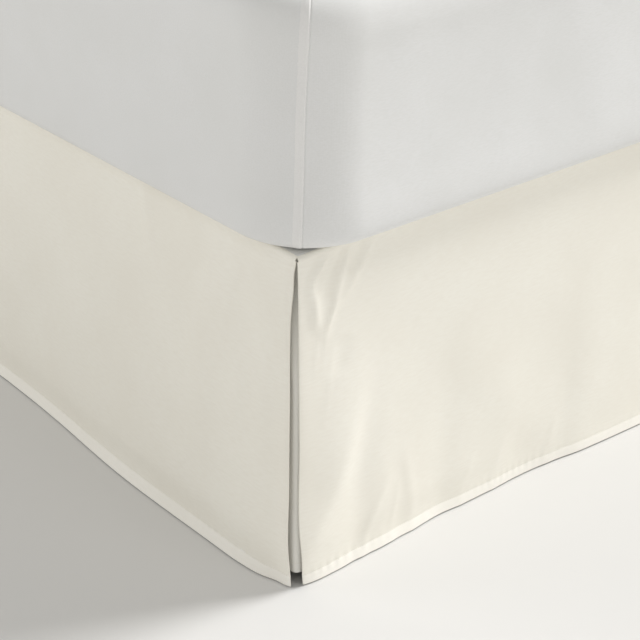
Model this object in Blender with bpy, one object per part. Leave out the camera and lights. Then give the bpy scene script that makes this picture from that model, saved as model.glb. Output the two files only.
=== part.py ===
"""Tailored bed skirt with open pleated corners, hanging on a plain queen bed.

Metres, +Z up. The floor is z = 0 and the bed's middle is x = y = 0. The foot of
the bed faces -Y and its head +Y. The nominal skirt plane is the outer face that a
drop would have if it hung dead straight from the edge of the deck.
"""

import math
from typing import NamedTuple

import bmesh
import bpy
import numpy as np

# Bed
BED_WIDTH = 1.524
BED_LENGTH = 2.032
DECK_HEIGHT = 0.381
GAP = 0.0003

# Cloth
CLOTH = 0.0012
HEM_HEIGHT = 0.0127
HEM_EXTRA = 0.0005
HEM_STEP = 0.0007
HEM_CLEARANCE = 0.0015
SHOULDER_RADIUS = 0.0040
SEAM_WIDTH = 0.0010
SEAM_SHARE = 0.04
FALL_POWER = 1.15
DECK_CORNER_RADIUS = 0.003
EDGE_CLEARANCE = 0.0020

# Open corner. Each layer is measured in from the outer face of its drop
RETURN_LENGTH = 0.062
FOLD_RADIUS = 0.0020
RETURN_BEHIND = 2 * FOLD_RADIUS
UNDERLAY_GAP = 0.0005
UNDERLAY_BEHIND = RETURN_BEHIND + UNDERLAY_GAP
UNDERLAY_LENGTH = 0.074
UNDERLAY_RADIUS = 0.007
UNDERLAY_HEM_RISE = 0.012
UNDERLAY_RISE_HEIGHT = 0.200
UNDERLAY_LAG = 0.001
UNDERLAY_STEPS = 6
UNDERLAY_LEG = (1.0, 0.75, 0.5, 0.25)

# Box spring
BOX_HEIGHT = 0.2272
BOX_INSET = UNDERLAY_BEHIND + CLOTH + EDGE_CLEARANCE
BOX_CORNER_RADIUS = 0.034
BOX_EDGE_RADIUS = 0.006
BOX_CORNER_STEPS = 6

# Mattress
MATTRESS_HEIGHT = 0.250
MATTRESS_OVERHANG = 0.019
MATTRESS_CORNER_RADIUS = 0.087
MATTRESS_CORNER_STEPS = 8
MATTRESS_CROWN = 0.006
MATTRESS_WAIST = 0.003
MATTRESS_RIM_DROP = 0.001
MATTRESS_LEAST_RADIUS = 0.03

# Steel frame
RAIL_WIDTH = 0.030
RAIL_DEPTH = 0.040
RAIL_INSET = 0.075
RAIL_END_INSET = 0.080
CROSS_PLACES = (("foot", -0.800), ("middle", 0.0), ("head", 0.800))
LEG_RADIUS = 0.016
GLIDE_RADIUS = 0.025
GLIDE_HEIGHT = 0.009
LEG_SIDES = 16
EDGE_EASE = 0.002


class Finish(NamedTuple):
    """A plain finish: linear colour, roughness and metallic value."""

    colour: tuple
    roughness: float
    metallic: float


CREAM_CLOTH = Finish((0.85, 0.82, 0.74), 0.78, 0.0)
WHITE_CLOTH = Finish((0.74, 0.74, 0.72), 0.82, 0.0)
GREY_STEEL = Finish((0.10, 0.10, 0.11), 0.45, 0.8)


class Hang(NamedTuple):
    """One station of a drop: how far its hem stands out of the skirt plane."""

    along: float
    hem_out: float


class Fold(NamedTuple):
    """One soft ridge or trough of cloth that runs down a drop.

    path is its places from the upper end down, as distance along and height, and depth is
    outwards. fade is the share of its height over which each end dies away, open_low tells
    whether it runs out over the hem, and slow is how many times wider its flank towards the
    first corner is.
    """

    path: tuple
    width: float
    depth: float
    fade: float = 0.35
    open_low: bool = False
    slow: float = 1.0


class Edge(NamedTuple):
    """How far a drop's folded edge has drawn back from the corner at a height."""

    height: float
    back: float


# Distances along the side drops run from the foot corner towards the head
LEFT_HANG = (
    Hang(0.00, 0.0045),
    Hang(0.02, 0.0075),
    Hang(0.04, 0.0143),
    Hang(0.07, 0.0188),
    Hang(0.12, 0.0205),
    Hang(0.21, 0.0220),
    Hang(0.29, 0.0225),
    Hang(0.34, 0.0203),
    Hang(0.43, 0.0147),
    Hang(0.60, 0.0110),
    Hang(0.85, 0.0165),
    Hang(1.10, 0.0095),
    Hang(1.40, 0.0150),
    Hang(1.70, 0.0085),
    Hang(BED_LENGTH, 0.0105),
)
LEFT_FOLDS = (
    Fold(((0.095, 0.345), (0.134, 0.272), (0.150, 0.194), (0.150, 0.120)), 0.045, 0.0026),
    Fold(((0.080, 0.320), (0.065, 0.232), (0.062, 0.160)), 0.032, -0.0014),
    Fold(((0.243, 0.378), (0.228, 0.300)), 0.022, 0.0018),
    Fold(((0.000, 0.300), (0.000, 0.040)), 0.044, 0.0022, 0.5),
    Fold(((0.300, 0.300), (0.290, 0.020)), 0.120, -0.0010),
    Fold(((0.560, 0.340), (0.640, 0.020)), 0.070, -0.0040),
    Fold(((0.980, 0.360), (0.930, 0.010)), 0.080, 0.0035),
    Fold(((1.520, 0.350), (1.600, 0.010)), 0.080, -0.0035),
)
LEFT_EDGE = (
    Edge(0.000, 0.0036),
    Edge(0.046, 0.0076),
    Edge(0.110, 0.0066),
    Edge(0.168, 0.0073),
    Edge(0.225, 0.0078),
    Edge(0.279, 0.0094),
    Edge(0.306, 0.0097),
    Edge(0.328, 0.0084),
    Edge(0.344, 0.0070),
    Edge(0.364, 0.0062),
    Edge(DECK_HEIGHT, 0.0046),
)

RIGHT_HANG = (
    Hang(0.00, 0.0040),
    Hang(0.04, 0.0100),
    Hang(0.12, 0.0150),
    Hang(0.26, 0.0180),
    Hang(0.45, 0.0120),
    Hang(0.70, 0.0165),
    Hang(1.00, 0.0100),
    Hang(1.30, 0.0160),
    Hang(1.65, 0.0090),
    Hang(BED_LENGTH, 0.0110),
)
RIGHT_FOLDS = (
    Fold(((0.100, 0.360), (0.130, 0.080)), 0.050, 0.0025),
    Fold(((0.420, 0.350), (0.500, 0.010)), 0.080, -0.0035),
    Fold(((0.900, 0.360), (0.850, 0.010)), 0.080, 0.0035),
    Fold(((1.480, 0.350), (1.560, 0.010)), 0.080, -0.0035),
)
RIGHT_EDGE = (
    Edge(0.000, 0.0065),
    Edge(0.120, 0.0090),
    Edge(0.250, 0.0070),
    Edge(DECK_HEIGHT, 0.0046),
)

# Distances along the foot drop run from the left corner to the right one
FOOT_FALL_POWER = 1.8
FOOT_HANG = (
    Hang(0.000, 0.0002),
    Hang(0.006, 0.0006),
    Hang(0.030, 0.0022),
    Hang(0.058, 0.0051),
    Hang(0.087, 0.0029),
    Hang(0.115, 0.0041),
    Hang(0.146, 0.0020),
    Hang(0.178, 0.0010),
    Hang(0.210, -0.0016),
    Hang(0.239, 0.0001),
    Hang(0.271, 0.0009),
    Hang(0.304, 0.0011),
    Hang(0.337, 0.0004),
    Hang(0.370, 0.0018),
    Hang(0.401, 0.0046),
    Hang(0.428, 0.0086),
    Hang(0.460, 0.0105),
    Hang(0.620, 0.0150),
    Hang(0.800, 0.0070),
    Hang(1.000, 0.0130),
    Hang(1.220, 0.0050),
    Hang(1.400, 0.0110),
    Hang(BED_WIDTH, 0.0040),
)
FOOT_FOLDS = (
    Fold(((0.038, 0.380), (0.022, 0.349), (0.024, 0.300)), 0.013, 0.0018),
    Fold(((0.062, 0.380), (0.045, 0.316), (0.034, 0.290)), 0.013, 0.0018),
    Fold(((0.092, 0.380), (0.072, 0.340), (0.052, 0.315)), 0.014, 0.0014),
    Fold(
        ((0.077, 0.225), (0.063, 0.153), (0.037, 0.090), (0.006, 0.044), (-0.013, 0.006)),
        0.044, 0.0044, 0.80, True, 2.6,
    ),
    Fold(((0.096, 0.150), (0.082, 0.090), (0.066, 0.040), (0.052, 0.006)), 0.036, -0.0005, 0.6, True),
    Fold(((0.034, 0.075), (0.024, 0.006)), 0.050, 0.0032, 0.90, True),
    Fold(((0.012, 0.140), (0.004, 0.058)), 0.062, -0.0010, 0.90),
    Fold(((0.124, 0.084), (0.100, 0.040), (0.090, 0.006)), 0.017, 0.0013, 0.5, True),
    Fold(((0.150, 0.105), (0.162, 0.050), (0.166, 0.006)), 0.017, 0.0007, 0.5, True),
    Fold(((0.182, 0.120), (0.184, 0.006)), 0.040, -0.0006, 0.6, True),
    Fold(((0.190, 0.310), (0.240, 0.200), (0.310, 0.112), (0.364, 0.040)), 0.090, 0.0010),
    Fold(((0.180, 0.300), (0.185, 0.110)), 0.090, -0.0009),
    Fold(((0.354, 0.200), (0.440, 0.020)), 0.080, -0.0007),
    Fold(((0.700, 0.360), (0.780, 0.010)), 0.080, -0.0040),
    Fold(((1.180, 0.360), (1.120, 0.010)), 0.070, 0.0035),
    Fold(((1.430, 0.340), (1.455, 0.040)), 0.034, 0.0040),
)
FOOT_EDGE = (
    Edge(0.000, 0.0094),
    Edge(0.012, 0.0084),
    Edge(0.060, 0.0050),
    Edge(0.108, 0.0053),
    Edge(0.167, 0.0051),
    Edge(0.225, 0.0046),
    Edge(0.286, 0.0039),
    Edge(0.335, 0.0031),
    Edge(0.362, 0.0020),
    Edge(DECK_HEIGHT, 0.0005),
)
FOOT_FAR_EDGE = (
    Edge(0.000, 0.0070),
    Edge(0.100, 0.0075),
    Edge(0.220, 0.0060),
    Edge(DECK_HEIGHT, 0.0005),
)

# Columns of a drop, as distances from the corner: close where its folds are narrow
NEAR_COLUMNS = (0.0, 0.012, 0.024, 0.036, 0.048, 0.060, 0.074, 0.088, 0.104, 0.122)
NEAR_COLUMNS += (0.142, 0.164, 0.188, 0.214, 0.242, 0.272, 0.304, 0.340, 0.380, 0.430)
FAR_COLUMNS = (0.0, 0.016, 0.036, 0.060, 0.088, 0.122, 0.164, 0.214, 0.272, 0.340, 0.420)
FAR_STEP = 0.085
SHOULDER_STEPS = 3
FOLD_STEPS = 4
RETURN_COLUMNS = (0.3, 0.65, 1.0)
BODY_HEIGHTS = (0.358, 0.336, 0.312, 0.284, 0.250, 0.210, 0.168, 0.126, 0.086, 0.048)


def smooth_step(value):
    """0 below 0, 1 above 1, and a soft curve between."""
    value = np.clip(value, 0.0, 1.0)
    return value * value * (3.0 - 2.0 * value)


def smooth_curve(places, values, at):
    """A curve through the values, with the slopes of their neighbours."""
    places = np.asarray(places, float)
    values = np.asarray(values, float)
    slopes = np.gradient(values, places)
    low = np.clip(np.searchsorted(places, at) - 1, 0, len(places) - 2)
    span = places[low + 1] - places[low]
    part = np.clip((at - places[low]) / span, 0.0, 1.0)
    rise = values[low + 1] - values[low]
    ease = part * part * (3.0 - 2.0 * part)
    start = part * (1.0 - part) ** 2 * slopes[low] * span
    end = part * part * (part - 1.0) * slopes[low + 1] * span
    return values[low] + rise * ease + start + end


def fold_depth(fold, along, height):
    """How far one fold lifts the cloth out at a place on the drop."""
    places = np.array(fold.path)[::-1]
    low, top = places[0, 1], places[-1, 1]
    middle = smooth_curve(places[:, 1], places[:, 0], np.clip(height, low, top))
    away = along - middle
    away = np.where(away < 0.0, away / fold.slow, away)
    run = (top - height) / (top - low)
    fade = smooth_step(run / fold.fade + 0.5)
    if not fold.open_low:
        fade = fade * smooth_step((1.0 - run) / fold.fade + 0.5)
    return fold.depth * np.exp(-((away / (0.5 * fold.width)) ** 2)) * fade


class Side(NamedTuple):
    """Where a drop hangs: its first corner, the way along it and the way out of it."""

    corner: tuple
    along: tuple
    outward: tuple

    def place(self, grid):
        """Grid points of along, out and height as x, y and z."""
        spot = np.zeros(grid.shape)
        spot[..., :2] = np.asarray(self.corner)
        spot[..., :2] += grid[..., :1] * np.asarray(self.along)
        spot[..., :2] += grid[..., 1:2] * np.asarray(self.outward)
        spot[..., 2] = grid[..., 2]
        return spot

    def faces_in(self):
        """Whether a grid that runs along this side and down has its face inwards."""
        return self.along[1] * self.outward[0] - self.along[0] * self.outward[1] < 0.0


LEFT_SIDE = Side((-0.5 * BED_WIDTH, -0.5 * BED_LENGTH), (0.0, 1.0), (-1.0, 0.0))
RIGHT_SIDE = Side((0.5 * BED_WIDTH, -0.5 * BED_LENGTH), (0.0, 1.0), (1.0, 0.0))
FOOT_SIDE = Side((-0.5 * BED_WIDTH, -0.5 * BED_LENGTH), (1.0, 0.0), (0.0, -1.0))


class Drop:
    """The hanging surface of one drop: where it is for a place along it and a height."""

    def __init__(self, hang, folds, fall_power=FALL_POWER):
        self.fall_power = fall_power
        self.places = [station.along for station in hang]
        self.hems = [station.hem_out for station in hang]
        self.folds = folds

    def out(self, along, height):
        """Distance of the cloth's outer face outside the skirt plane."""
        along = np.asarray(along, float)
        fallen = np.clip(1.0 - height / DECK_HEIGHT, 0.0, 1.0)
        value = smooth_curve(self.places, self.hems, along) * fallen**self.fall_power
        for fold in self.folds:
            value = value + fold_depth(fold, along, height)
        return value * smooth_step(fallen / SEAM_SHARE)


def edge_back(table, height):
    """How far the folded edge stands back from the corner at a height."""
    return float(smooth_curve([row.height for row in table], [row.back for row in table], height))


def sheet_mesh(name, outer, behind, used):
    """A closed sheet on a grid of points.

    outer is rows by columns of outer-face points, behind is the cloth's thickness at
    each, and used tells which cells of the grid are cloth.
    """
    across = np.gradient(outer, axis=1)
    down = np.gradient(outer, axis=0)
    normal = np.cross(down, across)
    # Cells outside the cloth may have no face, so their length is kept above zero
    normal /= np.maximum(np.linalg.norm(normal, axis=2, keepdims=True), 1e-12)
    back = outer - normal * behind[:, :, None]
    mesh = bpy.data.meshes.new(name)
    builder = bmesh.new()
    corners = {}

    def corner(side, row, column):
        key = (side, row, column)
        if key not in corners:
            grid = outer if side == 0 else back
            corners[key] = builder.verts.new(grid[row, column])
        return corners[key]

    rows, columns = used.shape
    for row in range(rows):
        for column in range(columns):
            if not used[row, column]:
                continue
            ring = ((row, column), (row + 1, column), (row + 1, column + 1), (row, column + 1))
            builder.faces.new([corner(0, *place) for place in ring])
            builder.faces.new([corner(1, *place) for place in reversed(ring)])
            beside = ((row, column - 1), (row + 1, column), (row, column + 1), (row - 1, column))
            for index, (next_row, next_column) in enumerate(beside):
                inside = 0 <= next_row < rows and 0 <= next_column < columns
                if inside and used[next_row, next_column]:
                    continue
                first = ring[index]
                second = ring[(index + 1) % 4]
                builder.faces.new(
                    [corner(0, *second), corner(0, *first), corner(1, *first), corner(1, *second)]
                )
    bmesh.ops.recalc_face_normals(builder, faces=builder.faces)
    builder.to_mesh(mesh)
    builder.free()
    return mesh


def make_material(name, finish):
    """A Principled material with one plain finish."""
    material = bpy.data.materials.new(name)
    material.use_nodes = True
    shader = material.node_tree.nodes["Principled BSDF"]
    shader.inputs["Base Color"].default_value = (*finish.colour, 1.0)
    shader.inputs["Roughness"].default_value = finish.roughness
    shader.inputs["Metallic"].default_value = finish.metallic
    return material


def add_part(name, mesh, material, location=(0.0, 0.0, 0.0), crease_degrees=40.0):
    """One named sub-part, shaded smooth but for its sharp edges."""
    mesh.shade_smooth()
    mesh.set_sharp_from_angle(angle=math.radians(crease_degrees))
    part = bpy.data.objects.new(name, mesh)
    part.location = location
    part.data.materials.append(material)
    bpy.context.scene.collection.objects.link(part)
    return part


def drop_rows():
    """The rows of a drop from its seam down to its hem.

    Each is the height, the distance in behind the skirt plane that the shoulder takes
    it, and whether it is hem.
    """
    rows = [(DECK_HEIGHT, SHOULDER_RADIUS + SEAM_WIDTH, False)]
    for step in range(SHOULDER_STEPS + 1):
        turn = 0.5 * math.pi * step / SHOULDER_STEPS
        height = DECK_HEIGHT - SHOULDER_RADIUS * (1.0 - math.cos(turn))
        rows.append((height, SHOULDER_RADIUS * (1.0 - math.sin(turn)), False))
    rows += [(height, 0.0, False) for height in BODY_HEIGHTS]
    hem_top = HEM_CLEARANCE + HEM_HEIGHT
    rows.append((hem_top + HEM_STEP, 0.0, False))
    rows.append((hem_top, 0.0, True))
    rows.append((HEM_CLEARANCE, 0.0, True))
    return rows


def drop_columns(length, near, far):
    """Distances along a drop, from close steps at one corner to those at its far end."""
    last = length - far[-1] if far else length
    middle_count = max(1, round((last - near[-1]) / FAR_STEP))
    middle = [near[-1] + (last - near[-1]) * step / middle_count for step in range(1, middle_count)]
    end = [length - distance for distance in reversed(far)] if far else [length]
    return np.array(list(near) + middle + end)


def pleated_end(drop, columns, height, inward, edge, from_corner):
    """Points of a drop at one height, with the fold and return at its first end.

    Returns pairs of the distance along and the distance outwards. from_corner turns a
    column into its distance from that end's corner.
    """
    # The shoulder is mitred at the corner, clear of the next drop's cloth
    start = max(edge_back(edge, height) + FOLD_RADIUS, inward + CLOTH + GAP)
    along = start + columns * (1.0 - start / columns[-1])
    outer = drop.out(from_corner(along), height) - inward
    lead = []
    for share in RETURN_COLUMNS[::-1]:
        place = start + (RETURN_LENGTH - start) * share
        lead.append((place, float(drop.out(from_corner(place), height)) - inward - RETURN_BEHIND))
    for step in range(FOLD_STEPS, 0, -1):
        turn = math.pi * step / FOLD_STEPS
        sunk = FOLD_RADIUS * (1.0 - math.cos(turn))
        lead.append((start - FOLD_RADIUS * math.sin(turn), outer[0] - sunk))
    return lead, list(zip(along, outer))


def drop_grid(drop, length, near, far, first_edge, last_edge):
    """Outer-face points of a drop along its pleats and length, row by row."""
    columns = drop_columns(length, near, far)
    half = len(columns) // 2
    grid = []
    for height, inward, _ in drop_rows():
        lead, main = pleated_end(
            drop, columns[: half + 1], height, inward, first_edge, lambda place: place
        )
        tail = []
        rest = columns[half + 1 :]
        if last_edge:
            mirrored = length - columns[half:][::-1]
            tail, rest_points = pleated_end(
                drop, mirrored, height, inward, last_edge, lambda place: length - place
            )
            turned = [(length - along, out) for along, out in rest_points[::-1]]
            main = main[:-1] + turned
            tail = [(length - along, out) for along, out in tail[::-1]]
        else:
            main += [(along, float(drop.out(along, height)) - inward) for along in rest]
        grid.append([(along, out, height) for along, out in lead + main + tail])
    return np.array(grid)


def make_drop(name, drop, length, near, far, edges, side, material):
    """One drop as a closed sheet. Its pleat returns start below the shoulder."""
    outer = side.place(drop_grid(drop, length, near, far, *edges))
    used = np.ones((outer.shape[0] - 1, outer.shape[1] - 1), bool)
    lead_count = FOLD_STEPS + len(RETURN_COLUMNS)
    used[: SHOULDER_STEPS + 1, :lead_count] = False
    if edges[1]:
        used[: SHOULDER_STEPS + 1, -lead_count:] = False
    if side.faces_in():
        outer = outer[:, ::-1]
        used = used[:, ::-1]
    return add_part(name, sheet_mesh(name, outer, thickness(drop_rows(), outer), used), material)


def thickness(rows, outer):
    """The cloth's thickness at each point of a grid, more where it is hem."""
    behind = np.full(outer.shape[:2], CLOTH)
    behind[[row for row, entry in enumerate(rows) if entry[2]], :] += HEM_EXTRA
    return behind


def underlay_points(side_drop, foot_drop, height, side):
    """Plan points of a pleat's underlay at one height, from the side drop to the foot drop.

    They are distances in from the side plane and in from the foot plane.
    """
    middle = UNDERLAY_BEHIND + UNDERLAY_RADIUS
    far_along = [middle + (UNDERLAY_LENGTH - middle) * share for share in UNDERLAY_LEG]

    def leg(drop, along, turned):
        station = BED_WIDTH - along if turned else along
        follow = smooth_step((along - middle) / (UNDERLAY_LENGTH - middle))
        # It stays behind until the drop stands out by the lag
        return UNDERLAY_BEHIND - max(0.0, float(drop.out(station, height)) - UNDERLAY_LAG) * follow

    points = [(leg(side_drop, along, False), along) for along in far_along]
    for step in range(UNDERLAY_STEPS + 1):
        turn = 0.5 * math.pi * step / UNDERLAY_STEPS
        points.append(
            (middle - UNDERLAY_RADIUS * math.cos(turn), middle - UNDERLAY_RADIUS * math.sin(turn))
        )
    points += [(along, leg(foot_drop, along, side > 0)) for along in reversed(far_along)]
    return points


def make_underlay(name, side_drop, foot_drop, side, material):
    """The cloth behind an open corner. side is -1 at the left corner and 1 at the right."""
    rows = drop_rows()[SHOULDER_STEPS + 1 :]
    outer = []
    for height, _, _ in rows:
        line = underlay_points(side_drop, foot_drop, height, side)
        # Its hem hangs a little higher than those of the drops
        level = height + UNDERLAY_HEM_RISE * (1.0 - smooth_step(height / UNDERLAY_RISE_HEIGHT))
        outer.append(
            [(side * (0.5 * BED_WIDTH - a), -0.5 * BED_LENGTH + b, level) for a, b in line]
        )
    outer = np.array(outer)
    if side > 0:
        outer = outer[:, ::-1]
    used = np.ones((outer.shape[0] - 1, outer.shape[1] - 1), bool)
    return add_part(name, sheet_mesh(name, outer, thickness(rows, outer), used), material)


def rounded_outline(width, length, radius, steps):
    """Plan points of a rectangle with round corners, anticlockwise."""
    points = []
    for quarter in range(4):
        sign_x, sign_y = ((1, 1), (-1, 1), (-1, -1), (1, -1))[quarter]
        middle_x = sign_x * (0.5 * width - radius)
        middle_y = sign_y * (0.5 * length - radius)
        for step in range(steps + 1):
            turn = 0.5 * math.pi * (quarter + step / steps)
            points.append((middle_x + radius * math.cos(turn), middle_y + radius * math.sin(turn)))
    return points


def stacked_mesh(name, layers):
    """A closed solid lofted through rings of equal count, with flat lowest and highest faces."""
    mesh = bpy.data.meshes.new(name)
    builder = bmesh.new()
    rings = [[builder.verts.new(point) for point in layer] for layer in layers]
    for low, high in zip(rings, rings[1:]):
        for index in range(len(low)):
            after = (index + 1) % len(low)
            builder.faces.new((low[index], low[after], high[after], high[index]))
    builder.faces.new(rings[0][::-1])
    builder.faces.new(rings[-1])
    builder.to_mesh(mesh)
    builder.free()
    return mesh


def make_deck(material):
    """The platform cloth, flat on the box spring inside the drops' top seams."""
    inset = SHOULDER_RADIUS + SEAM_WIDTH + GAP
    outline = rounded_outline(BED_WIDTH - 2 * inset, BED_LENGTH - 2 * inset, DECK_CORNER_RADIUS, 2)
    # The head edge has no drop, so the deck reaches the bed's end there
    outline = [(x, y + inset if y > 0 else y) for x, y in outline]
    levels = (DECK_HEIGHT - CLOTH, DECK_HEIGHT)
    layers = [[(x, y, level) for x, y in outline] for level in levels]
    return add_part("deck", stacked_mesh("deck", layers), material)


def make_box_spring(material):
    """One covered block with round corners and soft edges, just under the deck."""
    top = DECK_HEIGHT - CLOTH - GAP
    low = top - BOX_HEIGHT
    layers = []
    for level, edge in edge_rounds(low, top, BOX_EDGE_RADIUS, 2):
        inset = BOX_INSET + edge
        outline = rounded_outline(
            BED_WIDTH - 2 * inset, BED_LENGTH - 2 * inset, BOX_CORNER_RADIUS - edge, BOX_CORNER_STEPS
        )
        layers.append([(x, y, level) for x, y in outline])
    return add_part("box_spring", stacked_mesh("box_spring", layers), material)


def edge_rounds(low, top, radius, steps):
    """Levels and insets of a block whose lowest and highest edges are rounded."""
    turns = [0.5 * math.pi * step / steps for step in range(steps + 1)]
    rows = [(low + radius * (1 - math.cos(turn)), radius * (1 - math.sin(turn))) for turn in turns]
    rows += [
        (top - radius * (1 - math.cos(turn)), radius * (1 - math.sin(turn))) for turn in turns[::-1]
    ]
    return rows


class Layer(NamedTuple):
    """One level of the mattress: its height above the deck and its inset."""

    height: float
    inset: float


MATTRESS_LAYERS = (
    Layer(0.0000, 0.0140),
    Layer(0.0016, 0.0078),
    Layer(0.0056, 0.0028),
    Layer(0.0130, 0.0000),
    Layer(0.0550, 0.5 * MATTRESS_WAIST),
    Layer(0.1250, MATTRESS_WAIST),
    Layer(0.1850, 0.7 * MATTRESS_WAIST),
    Layer(0.2200, 0.0010),
    Layer(0.2330, 0.0045),
    Layer(0.2420, 0.0120),
    Layer(0.2470, 0.0250),
    Layer(0.2492, 0.0600),
    Layer(MATTRESS_HEIGHT - MATTRESS_RIM_DROP + 0.5 * MATTRESS_CROWN, 0.1800),
    Layer(MATTRESS_HEIGHT - MATTRESS_RIM_DROP + MATTRESS_CROWN, 0.4200),
)


def make_mattress(material):
    """One filled solid: flat below, drawn in at mid side, soft rims and a low crown."""
    base = DECK_HEIGHT + GAP
    width = BED_WIDTH + 2 * MATTRESS_OVERHANG
    length = BED_LENGTH + 2 * MATTRESS_OVERHANG
    layers = []
    for layer in MATTRESS_LAYERS:
        radius = max(MATTRESS_CORNER_RADIUS - layer.inset, MATTRESS_LEAST_RADIUS)
        outline = rounded_outline(
            width - 2 * layer.inset, length - 2 * layer.inset, radius, MATTRESS_CORNER_STEPS
        )
        layers.append([(x, y, base + layer.height) for x, y in outline])
    return add_part("mattress", stacked_mesh("mattress", layers), material)


def box_mesh(name, size):
    """A block about its own origin, its edges eased."""
    mesh = bpy.data.meshes.new(name)
    builder = bmesh.new()
    bmesh.ops.create_cube(builder, size=1.0)
    bmesh.ops.scale(builder, vec=size, verts=builder.verts)
    bmesh.ops.bevel(builder, geom=builder.edges[:], offset=EDGE_EASE, segments=1, affect="EDGES")
    builder.to_mesh(mesh)
    builder.free()
    return mesh


def make_frame(material):
    """Two side rails, three cross rails between them and eight legs."""
    top = DECK_HEIGHT - CLOTH - GAP - BOX_HEIGHT - GAP
    rail_middle = top - 0.5 * RAIL_DEPTH
    rail_x = 0.5 * BED_WIDTH - RAIL_INSET
    side_mesh = box_mesh("side_rail", (RAIL_WIDTH, BED_LENGTH - 2 * RAIL_END_INSET, RAIL_DEPTH))
    for side, x in (("left", -rail_x), ("right", rail_x)):
        add_part(f"side_rail_{side}", side_mesh, material, (x, 0.0, rail_middle))
    cross_length = 2 * rail_x - RAIL_WIDTH - 2 * GAP
    cross_mesh = box_mesh("cross_rail", (cross_length, RAIL_WIDTH, RAIL_DEPTH))
    for label, y in CROSS_PLACES:
        add_part(f"cross_rail_{label}", cross_mesh, material, (0.0, y, rail_middle))
    leg = leg_mesh(top - RAIL_DEPTH - GAP)
    places = [(x, y) for _, y in CROSS_PLACES for x in (-rail_x, rail_x)]
    places += [(0.0, CROSS_PLACES[0][1]), (0.0, CROSS_PLACES[-1][1])]
    for number, (x, y) in enumerate(places, start=1):
        add_part(f"leg_{number}", leg, material, (x, y, 0.0))


def leg_mesh(height):
    """A round tube leg that stands on a flat glide."""
    profile = (
        (GLIDE_RADIUS - EDGE_EASE, 0.0),
        (GLIDE_RADIUS, EDGE_EASE),
        (GLIDE_RADIUS, GLIDE_HEIGHT - EDGE_EASE),
        (GLIDE_RADIUS - EDGE_EASE, GLIDE_HEIGHT),
        (LEG_RADIUS, GLIDE_HEIGHT),
        (LEG_RADIUS, height),
    )
    layers = []
    for radius, level in profile:
        turns = [2 * math.pi * side / LEG_SIDES for side in range(LEG_SIDES)]
        layers.append([(radius * math.cos(turn), radius * math.sin(turn), level) for turn in turns])
    return stacked_mesh("leg", layers)


def make_skirt(material):
    """Three drops and the two underlays behind the open corners."""
    left = Drop(LEFT_HANG, LEFT_FOLDS)
    right = Drop(RIGHT_HANG, RIGHT_FOLDS)
    foot = Drop(FOOT_HANG, FOOT_FOLDS, FOOT_FALL_POWER)
    make_drop(
        "side_panel_left", left, BED_LENGTH, NEAR_COLUMNS, (), (LEFT_EDGE, None), LEFT_SIDE, material
    )
    make_drop(
        "side_panel_right", right, BED_LENGTH, FAR_COLUMNS, (), (RIGHT_EDGE, None), RIGHT_SIDE, material
    )
    make_drop(
        "foot_panel", foot, BED_WIDTH, NEAR_COLUMNS, FAR_COLUMNS, (FOOT_EDGE, FOOT_FAR_EDGE), FOOT_SIDE,
        material,
    )
    make_underlay("corner_pleat_left", left, foot, -1, material)
    make_underlay("corner_pleat_right", right, foot, 1, material)


def clear_scene():
    """Start from an empty scene."""
    for old in list(bpy.data.objects):
        bpy.data.objects.remove(old, do_unlink=True)


def main():
    """Build the whole bed and skirt."""
    clear_scene()
    cream = make_material("cream_cloth", CREAM_CLOTH)
    white = make_material("white_cloth", WHITE_CLOTH)
    steel = make_material("painted_steel", GREY_STEEL)
    make_skirt(cream)
    make_deck(white)
    make_mattress(white)
    make_box_spring(white)
    make_frame(steel)


main()
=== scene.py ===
import logging
import math
from dataclasses import dataclass
from dataclasses import field
from enum import Enum
from typing import Any
from typing import Callable
from typing import Sequence

import bpy
import numpy as np
from mathutils import Matrix
from mathutils import Vector


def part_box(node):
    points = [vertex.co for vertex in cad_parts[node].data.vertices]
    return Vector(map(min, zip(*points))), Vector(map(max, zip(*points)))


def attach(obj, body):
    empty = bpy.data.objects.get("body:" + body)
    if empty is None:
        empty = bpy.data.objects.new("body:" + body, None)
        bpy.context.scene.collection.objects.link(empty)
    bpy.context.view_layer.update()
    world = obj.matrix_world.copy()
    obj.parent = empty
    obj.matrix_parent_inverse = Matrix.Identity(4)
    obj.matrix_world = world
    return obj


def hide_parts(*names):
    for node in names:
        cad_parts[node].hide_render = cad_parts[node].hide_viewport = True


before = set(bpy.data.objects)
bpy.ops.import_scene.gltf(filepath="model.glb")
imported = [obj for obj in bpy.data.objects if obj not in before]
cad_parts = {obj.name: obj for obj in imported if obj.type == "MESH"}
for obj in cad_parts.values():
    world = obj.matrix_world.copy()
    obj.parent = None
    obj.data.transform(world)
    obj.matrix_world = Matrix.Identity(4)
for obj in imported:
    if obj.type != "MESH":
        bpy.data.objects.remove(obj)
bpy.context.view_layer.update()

# The bed, the skirt's cut and the places that every class below works from, in metres.
# They are the frame's own driving dimensions, so each piece lies on its solid.

MM = 0.001
BED_WIDTH = 1.524
BED_LENGTH = 2.032
DECK_HEIGHT = 0.381
HALF_WIDTH = 0.5 * BED_WIDTH
HALF_LENGTH = 0.5 * BED_LENGTH
SHOULDER_RADIUS = 0.0040
SEAM_WIDTH = 0.0010
HEM_HEIGHT = 0.0127
HEM_CLEARANCE = 0.0015
DECK_OVER_BOX = 1.5 * MM
TIP_SAG = 2.7 * MM
TIP_REACH = 0.078
UNEVEN_WAVES = (0.31, 0.19, 0.12, 0.074, 0.047)
UNEVEN_RANGE = 0.45
BOX_INSET = 0.0077
BOX_CORNER_RADIUS = 0.034
BODY = "root"

LOG = logging.getLogger("bed_skirt")

Array = np.ndarray


# Colours and nodes

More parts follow.
